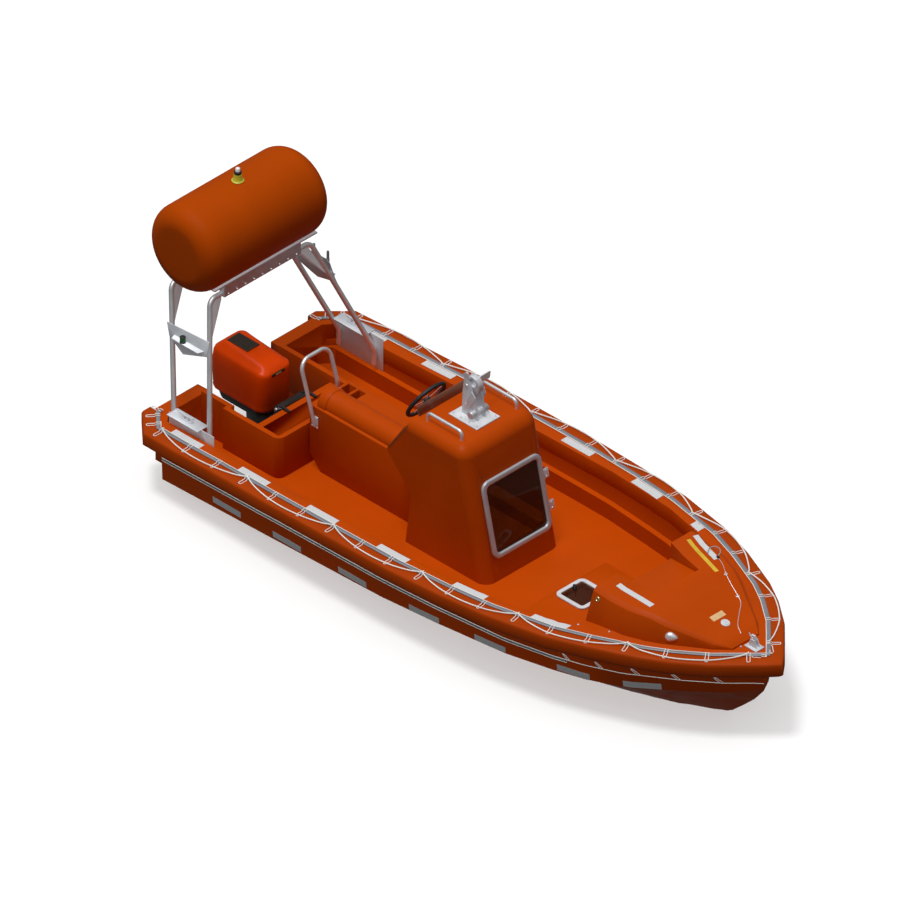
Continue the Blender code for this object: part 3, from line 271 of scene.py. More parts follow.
HULL = gelcoat("hull_gelcoat", (0.455, 0.055, 0.0011))
DRUM = gelcoat("container_gelcoat", (0.395, 0.053, 0.0008), 0.5, 0.0, 0.03)
DECK = gelcoat("deck_gelcoat", (0.435, 0.053, 0.0010), 0.40, 0.35)
FENDER = sprayed_skin("fender_skin", (0.355, 0.043, 0.0010))
PAINT = engine_paint("engine_paint", (0.72, 0.056, 0.0006))
STEEL = brushed("brushed_steel", (0.80, 0.81, 0.83), 0.40, metallic=0.75)
STEEL_ACROSS = brushed("brushed_steel_across", (0.50, 0.51, 0.54), 0.45, (1.0, 24.0, 1.0), 0.5)
PLATE = brushed("plate_metal", (0.62, 0.64, 0.68), 0.5, (14.0, 1.0, 1.0), 0.3)
RAIL = brushed("rail_metal", (0.27, 0.29, 0.32), 0.5, (14.0, 1.0, 1.0), 0.5)
PALE_METAL = brushed("pale_metal", (0.76, 0.77, 0.79), 0.5, (1.0, 1.0, 14.0), 0.2)
WHITE_PLATE = plastic("pale_plate", (0.60, 0.61, 0.63), 0.42)
RUBBER = plastic("black_rubber", (0.012, 0.012, 0.013), 0.6)
ENGINE_BLACK = plastic("engine_black", (0.014, 0.013, 0.012), 0.42)
PANEL_BROWN = plastic("cowl_vent_black", (0.035, 0.018, 0.004), 0.38)
PANE = tinted_pane("tinted_pane", (0.024, 0.008, 0.003), 0.66)
SCREEN = tinted_pane("screen_edge", (0.20, 0.075, 0.045), 0.85)
TAPE = reflective_tape("reflective_tape", (0.64, 0.65, 0.66))
# Copy of the tape a shade darker, for the hull's side patches: painted shade of patches that face starboard
# and down
TAPE_PAINTED_SHADE = reflective_tape("reflective_tape_painted_shade", (0.62, 0.63, 0.64))
ROPE = woven_rope("white_rope", (0.86, 0.84, 0.80))
BEACON_BASE = plastic("beacon_base", (0.50, 0.48, 0.03), 0.4)
LAMP_GREEN = lamp_lens("lamp_green", (0.01, 0.16, 0.03), 0.05)
LAMP_RED = lamp_lens("lamp_red", (0.40, 0.01, 0.01), 0.05)
LAMP_WHITE = lamp_lens("lamp_white", (0.80, 0.80, 0.78), 0.15)
BRASS = brushed("brass", (0.78, 0.62, 0.32), 0.3)
LABEL_YELLOW = plastic("label_yellow", (0.62, 0.40, 0.03), 0.4)
LABEL_CREAM = plastic("label_cream", (0.66, 0.42, 0.20), 0.4)
FLOOR = floor_matt("pale_floor", (0.96, 0.96, 0.96))


# Making pieces: a shape is a function that adds its faces to a mesh

def add_object(name, data):
    """New object in the scene."""
    made = bpy.data.objects.new(name, data)
    bpy.context.scene.collection.objects.link(made)
    return made


def piece(name, look, *shapes, body="boat", slot=None, angle=35):
    """Make a piece of one or more shapes that rides on a body."""
    bm = bmesh.new()
    for shape in shapes:
        shape(bm)
    bmesh.ops.recalc_face_normals(bm, faces=bm.faces)
    mesh = bpy.data.meshes.new(name)
    bm.to_mesh(mesh)
    bm.free()
    made = add_object(name, mesh)
    mesh.materials.append(look)
    mesh.shade_smooth()
    mesh.set_sharp_from_angle(angle=radians(angle))
    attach(made, body)
    return made


def bevel(thing, width, segments=2, angle=30):
    modifier = thing.modifiers.new("rounded_edges", "BEVEL")
    modifier.width = width
    modifier.segments = segments
    modifier.limit_method = "ANGLE"
    modifier.angle_limit = radians(angle)
    modifier.harden_normals = True
    modifier.use_clamp_overlap = True
    return thing


def soften(node, look, width, segments=2, angle=30):
    """Give a solid its finish and rounded edges."""
    thing = NODES[node]
    thing.data.materials.clear()
    thing.data.materials.append(look)
    thing.modifiers.new("weld", "WELD").merge_threshold = WELD
    thing.data.shade_smooth()
    thing.data.set_sharp_from_angle(angle=radians(35))
    bevel(thing, width, segments, angle)


def skin(rings, closed=False):
    """Skin over rings of points, with its ends capped or the last ring joined to the first."""
    def add(bm):
        rows = [[bm.verts.new(p) for p in ring] for ring in rings]
        pairs = list(zip(rows, rows[1:]))
        if closed:
            pairs.append((rows[-1], rows[0]))
        for low, high in pairs:
            for i in range(len(low)):
                j = (i + 1) % len(low)
                bm.faces.new((low[i], low[j], high[j], high[i]))
        if not closed:
            bm.faces.new(rows[0])
            bm.faces.new(rows[-1])
    return add


def prism(outline, place, levels):
    """Prism of an outline between two levels, placed by a function of (point, level)."""
    return skin([[place(p, level) for p in outline] for level in levels])


def upright(outline, breadths, start=0.0):
    """Prism of an outline in (distance, height) across the boat."""
    return prism(outline, lambda p, b: spot(start + p[0], b, p[1]), breadths)


def box(distances, breadths, heights):
    size = [abs(pair[1] - pair[0]) for pair in (distances, breadths, heights)]
    middle = spot(*[sum(pair) / 2 for pair in (distances, breadths, heights)])
    matrix = Matrix.Translation(middle) @ Matrix.Diagonal((*size, 1.0))
    return lambda bm: bmesh.ops.create_cube(bm, size=1.0, matrix=matrix)


def rod(start, along, radius, tip=None, sides=24):
    """Cylinder or cone from a point along a way."""
    turn = along.to_track_quat("Z", "Y").to_matrix().to_4x4()
    return lambda bm: bmesh.ops.create_cone(bm, cap_ends=True, segments=sides, radius1=radius,
                                            radius2=radius if tip is None else tip, depth=along.length,
                                            matrix=Matrix.Translation(start + along / 2) @ turn)


def turned(profile, centre, axis=UP, around=40):
    """Turned shape from a profile of (radius, height along the axis)."""
    turn = Vector(axis).to_track_quat("Z", "Y").to_matrix()
    return skin([[centre + turn @ Vector((r * cos(a), r * sin(a), h)) for a in circle(around)]
                 for r, h in profile])


def frames_along(path, closed=False):
    """Directions across a path that don't twist, as (point, side, up)."""
    last = len(path) - 1
    found = []
    side = None
    for i, here in enumerate(path):
        if closed:
            way = (path[(i + 1) % len(path)] - path[i - 1]).normalized()
        else:
            way = (path[min(i + 1, last)] - path[max(i - 1, 0)]).normalized()
        if side is None:
            side = way.orthogonal().normalized()
        side = (side - way * side.dot(way)).normalized()
        found.append((here, side, way.cross(side)))
    return found


def sweep(path, radius, sides=12, closed=False, squash=1.0):
    """Round or flattened bar along a path."""
    return skin([[here + (side * cos(a) + rise * sin(a) * squash) * radius for a in circle(sides)]
                 for here, side, rise in frames_along(path, closed)], closed)


def smooth_path(points, per=6):
    """Curve through the points (Catmull-Rom)."""
    points = [Vector(p) for p in points]
    ends = [points[0] * 2 - points[1]] + points + [points[-1] * 2 - points[-2]]
    path = []
    for a, b, c, d in zip(ends, ends[1:], ends[2:], ends[3:]):
        for i in range(per):
            t = i / per
            path.append(0.5 * ((2 * b) + (c - a) * t + (2 * a - 5 * b + 4 * c - d) * t * t
                               + (3 * b - a - 3 * c + d) * t * t * t))
    path.append(points[-1])
    return path


def rounded(points, radius, steps=8):
    """Replace the inner corners of a path by arcs."""
    path = [points[0]]
    for before, corner, after in zip(points, points[1:], points[2:]):
        back = (before - corner).normalized()
        on = (after - corner).normalized()
        half = back.angle(on) / 2
        reach = min(radius * cos(half) / max(1e-6, sin(half)), (before - corner).length * 0.49,
                    (after - corner).length * 0.49)
        bend = reach * sin(half) / cos(half)
        centre = corner + (back + on).normalized() * (reach / cos(half))
        first = corner + back * reach - centre
        last = corner + on * reach - centre
        path += [centre + first.slerp(last, i / steps).normalized() * bend for i in range(steps + 1)]
    return path + [points[-1]]


def oblong(lows, highs, corner, steps=8):
    """Rectangle with rounded corners, counter-clockwise from where both values are high."""
    (left, low), (right, high) = [v + corner for v in lows], [v - corner for v in highs]
    points = []
    for quarter, (u, v) in enumerate(((right, high), (left, high), (left, low), (right, low))):
        for i in range(steps + 1):
            angle = radians(90) * (quarter + i / steps)
            points.append((u + corner * cos(angle), v + corner * sin(angle)))
    return points


def rounded_box(name, look, distances, breadths, heights, width, body="boat"):
    bevel(piece(name, look, box(distances, breadths, heights), body=body), width, 3)


# The line round the gunwale

def inward(path, inset):
    """The plan path moved inward by an even distance, mitred at its corners."""
    path = [Vector(p) for p in path]
    ways = [(b - a).normalized() for a, b in zip(path, path[1:])]
    moved = []
    for i, here in enumerate(path):
        sides = [Vector((way.y, -way.x)) for way in ways[max(0, i - 1):i + 1]]
        middle = sum(sides, Vector((0, 0))).normalized()
        moved.append(here + middle * inset / max(0.7, middle.dot(sides[0])))
    return moved


def reaches(path):
    """Distance along a path at each of its points."""
    reach = [0.0]
    for a, b in zip(path, path[1:]):
        reach.append(reach[-1] + (b - a).length)
    return reach


class Track:
    """Line round the boat at an even inset from the gunwale's edge, measured from the port stern."""

    def __init__(self, inset, part=0.05):
        port = []
        for (a, b), (c, d) in zip(GUNWALE_EDGE, GUNWALE_EDGE[1:]):
            steps = max(1, round((Vector((c, d)) - Vector((a, b))).length / part))
            port += [(a + (c - a) * i / steps, b + (d - b) * i / steps) for i in range(steps)]
        self.points = inward(port + [GUNWALE_EDGE[-1]] + [(x, -y) for x, y in reversed(port)], inset)
        self.reach = reaches(self.points)
        self.length = self.reach[-1]

    def at(self, along):
        """Plan point, forward way and outboard way at a distance along the line."""
        along = min(max(along, 0.0), self.length)
        for i in range(len(self.points) - 1):
            if self.reach[i + 1] >= along:
                break
        a, b = self.points[i], self.points[i + 1]
        share = (along - self.reach[i]) / max(1e-9, self.reach[i + 1] - self.reach[i])
        way = (b - a).normalized()
        return a.lerp(b, share), way, Vector((-way.y, way.x))

    def point(self, along, out=0.0, lift=0.0):
        """Point over the gunwale's top at a distance along the line, moved outboard."""
        near, far, here = (self.at(along + shift) for shift in (-0.04, 0.04, 0.0))
        place = here[0] + (near[2] + far[2] + here[2]).normalized() * out
        return spot(place.x, place.y, read(SHEER, place.x) + lift)

    def where(self, distance, port=True):
        """Distance along the line of the point at a distance forward of the stern."""
        return min((abs(point.x - distance), reach) for point, reach in zip(self.points, self.reach)
                   if (point.y > 0) == port and reach > 0.2)[1]


TRACK = Track(RAIL_FAR)
ROPE_RADIUS = 0.0065
LINE_RADIUS = 0.0035
LINE_STEPS = 260
SWAG_STEPS = 24
TAPE_NEAR, TAPE_FAR = 0.158, 0.230
LOOP_REACH = 0.118
FIRST_NODE = 0.36
LOOP_STEP = 0.345


def becket_places():
    """Places of the rope loops, closer at the stern corners and the bow, and of the knots."""
    first = TRACK.where(FIRST_NODE)
    bow = TRACK.length / 2
    last = bow - 0.30
    count = round((last - first) / LOOP_STEP / 3) * 3
    step = (last - first) / count
    even = [first + step * k for k in range(count + 1)]
    return [first - 0.13 * k for k in (3, 2, 1)] + even + [bow - 0.045], even[::3]


def becket(along):
    """U-shaped loop of thin line that reaches outboard over the rail."""
    half, low = 0.014, 0.0045
    leg = [(-0.002, RAIL_TOP + 0.004), (0.034, RAIL_TOP + low), (0.046, low), (LOOP_REACH - half, low)]
    bend = [(-half * cos(pi * i / 6), LOOP_REACH - half + half * sin(pi * i / 6), low) for i in range(1, 6)]
    line = [(-half, *step) for step in leg] + bend + [(half, *step) for step in reversed(leg)]
    way = TRACK.at(along)[1].to_3d()
    return sweep([TRACK.point(along, reach, height) + way * shift for shift, reach, height in line],
                 LINE_RADIUS, 6)


def lifeline_path(knots):
    """Route of a lifeline that hangs in swags between its knots."""
    high = RAIL_TOP + 2 * LINE_RADIUS + ROPE_RADIUS + 0.002
    low = 2 * LINE_RADIUS + ROPE_RADIUS + 0.003
    path = []
    for a, b in zip(knots, knots[1:]):
        for i in range(SWAG_STEPS):
            hang = sin(pi * i / SWAG_STEPS)
            path.append(TRACK.point(a + (b - a) * i / SWAG_STEPS, 0.020 + 0.104 * hang ** 0.8,
                                    high + (low - high) * min(1.0, hang * 3.2)))
    return path + [TRACK.point(knots[-1], 0.020, high)]


def resample(path, step):
    """Even points along a path."""
    reach = reaches(path)
    count = max(2, round(reach[-1] / step))
    points = []
    k = 0
    for i in range(count + 1):
        target = reach[-1] * i / count
        while k < len(path) - 2 and reach[k + 1] < target:
            k += 1
        share = (target - reach[k]) / max(1e-9, reach[k + 1] - reach[k])
        points.append(path[k].lerp(path[k + 1], min(1.0, max(0.0, share))))
    return points


def laid_rope(name, path):
    """Three-strand laid rope along a path."""
    strand = ROPE_RADIUS * 0.53
    lay = ROPE_RADIUS * 7.5
    step = lay / 8
    frames = frames_along(resample(path, step))
    strands = []
    for k in range(3):
        centre = []
        for i, (here, side, rise) in enumerate(frames):
            angle = 2 * pi * (i * step / lay + k / 3)
            centre.append(here + (side * cos(angle) + rise * sin(angle)) * (ROPE_RADIUS - strand))
        strands.append(sweep(centre, strand, 5))
    piece(name, ROPE, *strands, angle=80)


def make_lifelines():
    """Lifelines in swags round the gunwale, their knots and loops, and the thin line behind the rail."""
    port = becket_places()
    both = ("port", port), ("starboard", [[TRACK.length - place for place in row] for row in port])
    for label, (loops, _) in both:
        piece("beckets_" + label, ROPE, *[becket(place) for place in loops])
    for label, (_, knots) in both:
        laid_rope("lifeline_rope_" + label, lifeline_path(knots))
        rings = [[TRACK.point(knot, 0.012 + 0.012 * cos(a), RAIL_TOP + 0.010 + 0.010 * sin(a))
                  for a in circle(10)] for knot in knots]
        piece("knots_" + label, ROPE, *[sweep(ring, LINE_RADIUS * 1.1, 6, True) for ring in rings])
    begin = TRACK.where(0.12)
    inner = [TRACK.point(begin + (TRACK.length - 2 * begin) * i / LINE_STEPS, -0.004, RAIL_TOP - 0.003)
             for i in range(LINE_STEPS + 1)]
    piece("becket_line", ROPE, sweep(inner, LINE_RADIUS, 6))


def make_deck_tape():
    """Retro-reflective patches along the deck, from the rail inboard."""
    lines = Track(TAPE_NEAR), Track(TAPE_FAR)
    for side, label in SIDES:
        patches = []
        for start in (0.42, 1.22, 2.03, 2.86, 3.72, 4.53):
            length = 0.12 if side > 0 and start > 4.5 else 0.34
            rings = []
            for i in range(7):
                d = start + length * i / 6
                a, b = [spot(d, line.point(line.where(d, side > 0)).y, read(SHEER, d)) for line in lines]
                rings.append([a + UP * 0.0015, b + UP * 0.0015, b + UP * 0.0035, a + UP * 0.0035])
            patches.append(skin(rings))
        piece("deck_tape_" + label, TAPE, *patches)


def on_hull(side, distance, height, out):
    """Point on the hull's side between chine and fender, moved outboard."""
    chine_b, chine_h = read(CHINE_BREADTH, distance), read(CHINE_HEIGHT, distance)
    share = (height - chine_h) / (read(SHEER, distance) - FENDER_HEIGHT - chine_h)
    return spot(distance, side * (chine_b + HULL_FLARE * share + out), height)


def make_hull_tape():
    """Retro-reflective patches on the hull's sides, above the chine."""
    places = [(0.92, 0.33, -0.411), (1.63, 0.33, -0.408), (2.40, 0.33, -0.385), (3.22, 0.34, -0.366),
              (3.95, 0.34, -0.345), (4.80, 0.30, -0.272), (5.38, 0.28, -0.250)]
    for side, label in SIDES:
        patches = []
        for start, length, middle in places:
            rings = []
            for d in [start + length * i / 4 for i in range(5)]:
                low = max(middle, read(CHINE_HEIGHT, d) + 0.034) - 0.030
                rings.append([on_hull(side, d, height, out) for height, out in
                              ((low, 0.0006), (low + 0.060, 0.0006), (low + 0.060, 0.0018), (low, 0.0018))])
            patches.append(skin(rings))
        # The hull's patches take the darker copy of the tape: painted shade
        piece("hull_tape_" + label, TAPE_PAINTED_SHADE, *patches)


def make_lower_rail():
    """Narrow rail below the fender with its two thin lines, and their loops at the bow."""
    stations = [0.33 + (6.34 - 0.33) * i / 92 for i in range(93)]
    aft = [d for d in stations if d < 4.95]
    for side, label in SIDES:
        def place(d, drop, out):
            return on_hull(side, d, read(SHEER, d) - FENDER_HEIGHT - drop, out)
        edges = (0.140, 0.0005), (0.140, 0.008), (0.160, 0.008), (0.160, 0.0005)
        piece("lower_rail_" + label, RAIL, skin([[place(d, *edge) for edge in edges] for d in aft]))
        lines = [sweep([place(d, 0.136, 0.006) for d in stations], LINE_RADIUS, 6),
                 sweep([place(d, 0.164, 0.006) for d in aft], LINE_RADIUS, 6)]
        for k in range(5):
            d = 4.93 + 0.29 * k
            loop = [place(d + 0.012, 0.136, 0.008), place(d - 0.030, 0.082, 0.016),
                    place(d - 0.050, 0.070, 0.018), place(d - 0.046, 0.084, 0.016),
                    place(d - 0.012, 0.136, 0.008)]
            lines.append(sweep(smooth_path(loop, 3), LINE_RADIUS, 6))
        piece("lower_lines_" + label, ROPE, *lines)


def make_deck_bolts():
    """Cap nuts along the inner edge of the deck."""
    line = Track(0.262)
    first, last = line.where(4.9), line.where(6.1)
    places = [first + (last - first) * k / 5 for k in range(6)]
    profile = [(0.010, 0.0), (0.010, 0.004), (0.007, 0.009), (0.002, 0.011)]
    piece("deck_nuts", STEEL, *[turned(profile, line.point(place, 0.0, 0.0004), UP, 10)
                                for along in places for place in (along, line.length - along)])


# Hull, deck and the finishes of the plain solids

FINISHES = [
    ("deck", DECK, 0.006), ("fender", FENDER, 0.010, 3), ("gunwale_rail", RAIL, 0.0015),
    ("engine_well", DECK, 0.010, 3), ("foredeck", DECK, 0.012, 3, 18), ("floor_panel", DECK, 0.008, 3),
    ("seat_pedestal", DECK, 0.012, 3), ("door_frame", STEEL_ACROSS, 0.014, 4), ("door_pane", PANE, 0.002),
    ("door_hinge_low", STEEL, 0.002), ("door_hinge_high", STEEL, 0.002), ("windscreen", SCREEN, 0.0015),
    ("steering_column", PLATE, 0.003), ("hoop_pad_starboard", STEEL, 0.002), ("hoop_pad_port", STEEL, 0.002),
    ("hook_base", PLATE, 0.002), ("hook_lever", PLATE, 0.003), ("lifting_hook", PLATE, 0.004, 3),
    ("cradle", PLATE, 0.003), ("foot_plate_starboard", PLATE, 0.002), ("foot_plate_port", PLATE, 0.002),
    ("side_bracket_starboard", PLATE, 0.002), ("side_bracket_port", PLATE, 0.002),
    ("leg", ENGINE_BLACK, 0.004, 2, 40), ("clamp_bracket", ENGINE_BLACK, 0.005),
    ("swivel_bracket", ENGINE_BLACK, 0.004), ("hatch_frame", WHITE_PLATE, 0.006, 3),
    ("hatch_lid", PANE, 0.003), ("hatch_latch", RUBBER, 0.003), ("painter_base", PLATE, 0.0015),
    ("painter_hook", PLATE, 0.0015)]


def round_off_seam(node):
    """Copy of a hull solid with its edges rounded, apart from those in the seam at the sole."""
    def copy(bm):
        bm.from_mesh(NODES[node].data)
        bm.transform(NODES[node].matrix_world)
        bmesh.ops.remove_doubles(bm, verts=bm.verts, dist=WELD)
        bmesh.ops.dissolve_limit(bm, angle_limit=radians(0.1), verts=bm.verts, edges=bm.edges)
        weight = bm.edges.layers.float.new("bevel_weight_edge")
        for edge in bm.edges:
            flat = all(abs(vert.co.z - GUNWALE_Z - SOLE) < 0.001 for vert in edge.verts)
            edge[weight] = 0.0 if flat or edge.calc_face_angle(0.0) < radians(25) else 1.0
    made = bevel(piece(node + "_shell", HULL, copy, slot="hull_orange"), 0.006)
    made.modifiers["rounded_edges"].limit_method = "WEIGHT"
    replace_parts(made, node)


def make_floor():
    mesh = bpy.data.meshes.new("floor")
    corners = [(x * FLOOR_HALF, y * FLOOR_HALF, 0) for x, y in ((-1, -1), (1, -1), (1, 1), (-1, 1))]
    mesh.from_pydata(corners, [], [(0, 1, 2, 3)])
    floor = add_object("floor", mesh)
    mesh.materials.append(FLOOR)
    floor.visible_diffuse = False
    floor.visible_glossy = False


# Console, seat and helm

FRONT_WAY = Vector((1.0, 0.0, FRONT_RAKE)).normalized()
DOOR_B, DOOR_HALF, DOOR_LOW, DOOR_HIGH, DOOR_BAR = 0.0225, 0.3475, -0.175, 0.53, 0.048


def on_front(breadth, height, out=0.0):
    """Point on the console's raked front face, moved out along its normal."""
    return spot(CONSOLE_FRONT - FRONT_RAKE * (height - SOLE), breadth, height) + FRONT_WAY * out


def console_wall(bm):
    """Outside of the console with rounded edges, open below and round the door."""
    side = [(CONSOLE_FRONT, SOLE + GAP), (CONSOLE_FRONT - FRONT_RAKE * (CONSOLE_TOP - SOLE), CONSOLE_TOP),
            (2.57, CONSOLE_TOP), (2.32, 0.49), (2.31, 0.46), (2.60, 0.15), (2.53, SOLE + GAP)]
    upright(side, (-CONSOLE_HALF, CONSOLE_HALF))(bm)
    bmesh.ops.recalc_face_normals(bm, faces=bm.faces)
    edges = []
    for edge in bm.edges:
        ends = [vert.co for vert in edge.verts]
        high = all(co.z > GUNWALE_Z + CONSOLE_TOP - 0.001 for co in ends)
        front = all(co.x > STERN_X + 3.1 for co in ends) and abs(ends[0].y - ends[1].y) < 0.001
        if (high or front) and not all(co.x < STERN_X + 2.6 for co in ends):
            edges.append(edge)
    bmesh.ops.bevel(bm, geom=edges, offset=0.11, segments=10, profile=0.5, affect="EDGES", clamp_overlap=True)
    bm.normal_update()
    gone = [face for face in bm.faces if face.normal.z < -0.99 and face.calc_center_median().z < 0.3]
    face = max((f for f in bm.faces if f.normal.x > 0.9), key=lambda f: f.calc_area())
    corners = sorted((v for v in face.verts), key=lambda v: (-v.co.z, -v.co.y))
    corners = [corners[0], corners[1], *sorted(corners[2:], key=lambda v: v.co.y)]
    bmesh.ops.delete(bm, geom=gone + [face], context="FACES_ONLY")
    inside = DOOR_HALF - DOOR_BAR
    door = oblong((-inside, DOOR_LOW + DOOR_BAR), (inside, DOOR_HIGH - DOOR_BAR), 0.05)
    loop = [bm.verts.new(on_front(DOOR_B + b, h)) for b, h in door]
    step = len(loop) // 4
    for k, corner in enumerate(corners):
        arc = loop[k * step:(k + 1) * step]
        for a, b in zip(arc, arc[1:]):
            bm.faces.new((corner, a, b))
        bm.faces.new((corner, arc[-1], loop[(k + 1) * step % len(loop)], corners[(k + 1) % 4]))
    bmesh.ops.remove_doubles(bm, verts=bm.verts, dist=1e-6)


def make_console():
    """Console shell with its real wall thickness, hinge screws, the shelf inside and windscreen ends."""
    shell = piece("console_shell", DECK, console_wall, slot="deck_orange", angle=40)
    wall = shell.modifiers.new("wall", "SOLIDIFY")
    wall.thickness, wall.offset, wall.use_even_offset = 0.02, -1, True
    shell.modifiers.new("even_shading", "WEIGHTED_NORMAL").keep_sharp = True
    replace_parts(shell, "console")
    piece("hinge_screws", STEEL, *[rod(on_front(0.405, height, 0.0155), FRONT_WAY * 0.005, 0.007, 0.0055, 12)
                                   for height in (-0.006, 0.046, 0.284, 0.336)])
    rounded_box("console_shelf", DECK, (2.72, 3.37), (0.30, 0.42), (-0.18, -0.12), 0.006)
    strip = [(2.567, CONSOLE_TOP - 0.045), (2.554, CONSOLE_TOP - 0.05), (2.325, 0.50), (2.338, 0.497)]
    for side, label in SIDES:
        levels = [side * (CONSOLE_HALF + out) for out in (0.0005, 0.0045)]
        piece("windscreen_side_" + label, SCREEN, upright(strip, levels))


def make_wheel():
    """Steering wheel with a ribbed rim, five bright spokes and a hub."""
    tilt, radius, sides = radians(28), 0.195, 14
    axis = Vector((-cos(tilt), 0.0, sin(tilt)))
    centre = spot(2.33, 0.0, 0.76)
    turn = Matrix.Translation(centre) @ axis.to_track_quat("Z", "Y").to_matrix().to_4x4()
    rings = []
    for angle in circle(160):
        swell = 0.0180 * (1.0 + 0.05 * max(0.0, sin(angle * 20)))
        rings.append([turn @ Vector(((radius + swell * cos(a)) * cos(angle),
                                     (radius + swell * cos(a)) * sin(angle), swell * sin(a)))
                      for a in circle(sides)])
    rim = piece("wheel_rim", RUBBER, skin(rings, True), body="wheel_body")
    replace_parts(rim, "steering_wheel")
    hub = [(0.030, -0.033), (0.037, -0.028), (0.038, 0.004), (0.030, 0.012), (0.012, 0.016)]
    piece("wheel_hub", RUBBER, turned(hub, centre, axis, 32), body="wheel_body")
    spokes = []
    for angle in circle(5):
        way, across = Vector((cos(angle), sin(angle), 0)), Vector((-sin(angle), cos(angle), 0))
        spokes.append(skin([[turn @ (way * reach + across * half * cos(a) + UP * (height + deep * sin(a)))
                             for a in circle(12)] for reach, half, deep, height in
                            ((0.03, 0.013, 0.005, -0.006), (0.09, 0.010, 0.004, -0.003),
                             (0.15, 0.009, 0.004, 0.0), (0.192, 0.012, 0.004, 0.0))]))
    piece("wheel_spokes", STEEL, *spokes, body="wheel_body")


def make_seat():
    """Half-round seat roll with its raised collar, moulded in one with the pedestal's top."""
    middle, radius, collar = -0.09, 0.122, 0.012
    low = 0.27 + GAP
    profile = [(1.258, radius - 0.030), (1.260, radius - 0.008), (1.268, radius + collar - 0.002),
               (1.278, radius + collar), (1.347, radius + collar), (1.357, radius + collar - 0.003),
               (1.362, radius + 0.002), (1.372, radius), (1.70, radius), (2.10, radius), (2.468, radius)]
    rings = []
    for d, r in profile:
        lean = 0.935 if d > 2.0 else 0.0
        rings.append([spot(d - lean * r * sin(pi * i / 32), middle + r * cos(pi * i / 32),
                           low + r * sin(pi * i / 32)) for i in range(33)])
    roll = piece("seat_roll", DECK, skin(rings), slot="deck_orange")
    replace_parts(roll, "seat")


def make_hoop():
    """Planar hoop that leans aft; its port leg stands on the pedestal's top."""
    side, inner, top, foot = -0.2645, 0.075, 0.665, 0.2763
    path = rounded([spot(1.285, side, 0.10), spot(1.108, side, top), spot(1.108, inner, top),
                    spot(1.208, inner, 0.35), spot(1.208, inner, foot)], 0.10, 10)
    hoop = bevel(piece("grab_hoop_tube", STEEL, sweep(path, 0.018, 20)), 0.002, 2, 60)
    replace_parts(hoop, "grab_hoop")
    piece("hoop_bolts", STEEL, *[rod(spot(d, -0.2463, h), Vector((0, -0.006, 0)), 0.006, 0.005, 12)
                                 for h in (0.075, 0.165) for d in (1.234, 1.29)])


def make_handrails():
    for side, label in SIDES:
        b, low, high = side * 0.322, CONSOLE_TOP + GAP, CONSOLE_TOP + 0.085
        path = rounded([spot(2.675, b, low), spot(2.675, b, high), spot(3.075, b, high), spot(3.075, b, low)],
                       0.045)
        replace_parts(piece("handrail_tube_" + label, STEEL, sweep(path, 0.0155, 18)), "handrail_" + label)


# Lifting hook

HOOK_X = 2.90


def make_hook_gear():
    """Base plate and its bolts, spring barrel, release handle and linkage of the lifting hook."""
    base_top = CONSOLE_TOP + 0.012
    piece("hook_plate_face", WHITE_PLATE,
          skin([[spot(HOOK_X + sx * 0.164, sy * 0.134, base_top + lift) for sx, sy in
                 ((-1, -1), (1, -1), (1, 1), (-1, 1))] for lift in (GAP, 0.0015)]))
    bolt = [(0.011, 0.0), (0.011, 0.002), (0.0085, 0.0022), (0.0085, 0.009), (0.003, 0.010)]
    piece("hook_plate_bolts", STEEL, *[turned(bolt, spot(HOOK_X + d, b, base_top + 0.0012), UP, 6)
                                       for d in (-0.14, -0.047, 0.047, 0.14) for b in (-0.11, 0.11)])
    cap = [(0.0345, 0.050), (0.036, 0.052), (0.036, 0.092), (0.033, 0.098), (0.022, 0.100)]
    centre = spot(HOOK_X + 0.045, 0, 0.945)
    caps = [(r, -b) for r, b in reversed(cap)], cap
    piece("hook_spring_caps", STEEL_ACROSS, *[turned(half, centre, (0, 1, 0), 32) for half in caps])
    quadrant = [(0.0, 0.97), (0.055, 1.06), (0.078, 1.12), (0.06, 1.17), (0.02, 1.20), (-0.02, 1.19)]
    bevel(piece("hook_quadrant", PLATE, upright(quadrant, (0.050, 0.060), HOOK_X)), 0.002)
    beam = [(0.050, 1.185), (0.185, 1.150), (0.207, 1.156), (0.215, 1.215), (0.205, 1.222), (0.050, 1.218)]
    bevel(piece("hook_handle", PALE_METAL, prism(beam, lambda p, d: spot(d, p[0], p[1]),
                                                 (HOOK_X - 0.036, HOOK_X - 0.022))), 0.002)
    nuts = (HOOK_X - 0.045, 1.19, 0.017), (HOOK_X + 0.02, 1.04, 0.012), (HOOK_X - 0.05, 1.00, 0.010)
    piece("hook_nuts", STEEL, *[rod(spot(d, side * 0.0485, h), Vector((0, side * 0.009, 0)), r, r * 0.9, 6)
                                for d, h, r in nuts for side in (-1, 1)])
    horn = [(-0.075, 1.25), (-0.02, 1.24), (-0.012, 1.27), (-0.03, 1.315), (-0.055, 1.32), (-0.082, 1.29)]
    bevel(piece("hook_horn", PLATE, upright(horn, (-0.048, -0.034), HOOK_X)), 0.002)


# Arch, container and lamps

def post_breadth(height):
    return POST_FOOT[0] - POST_LEAN * (height - POST_FOOT[1])


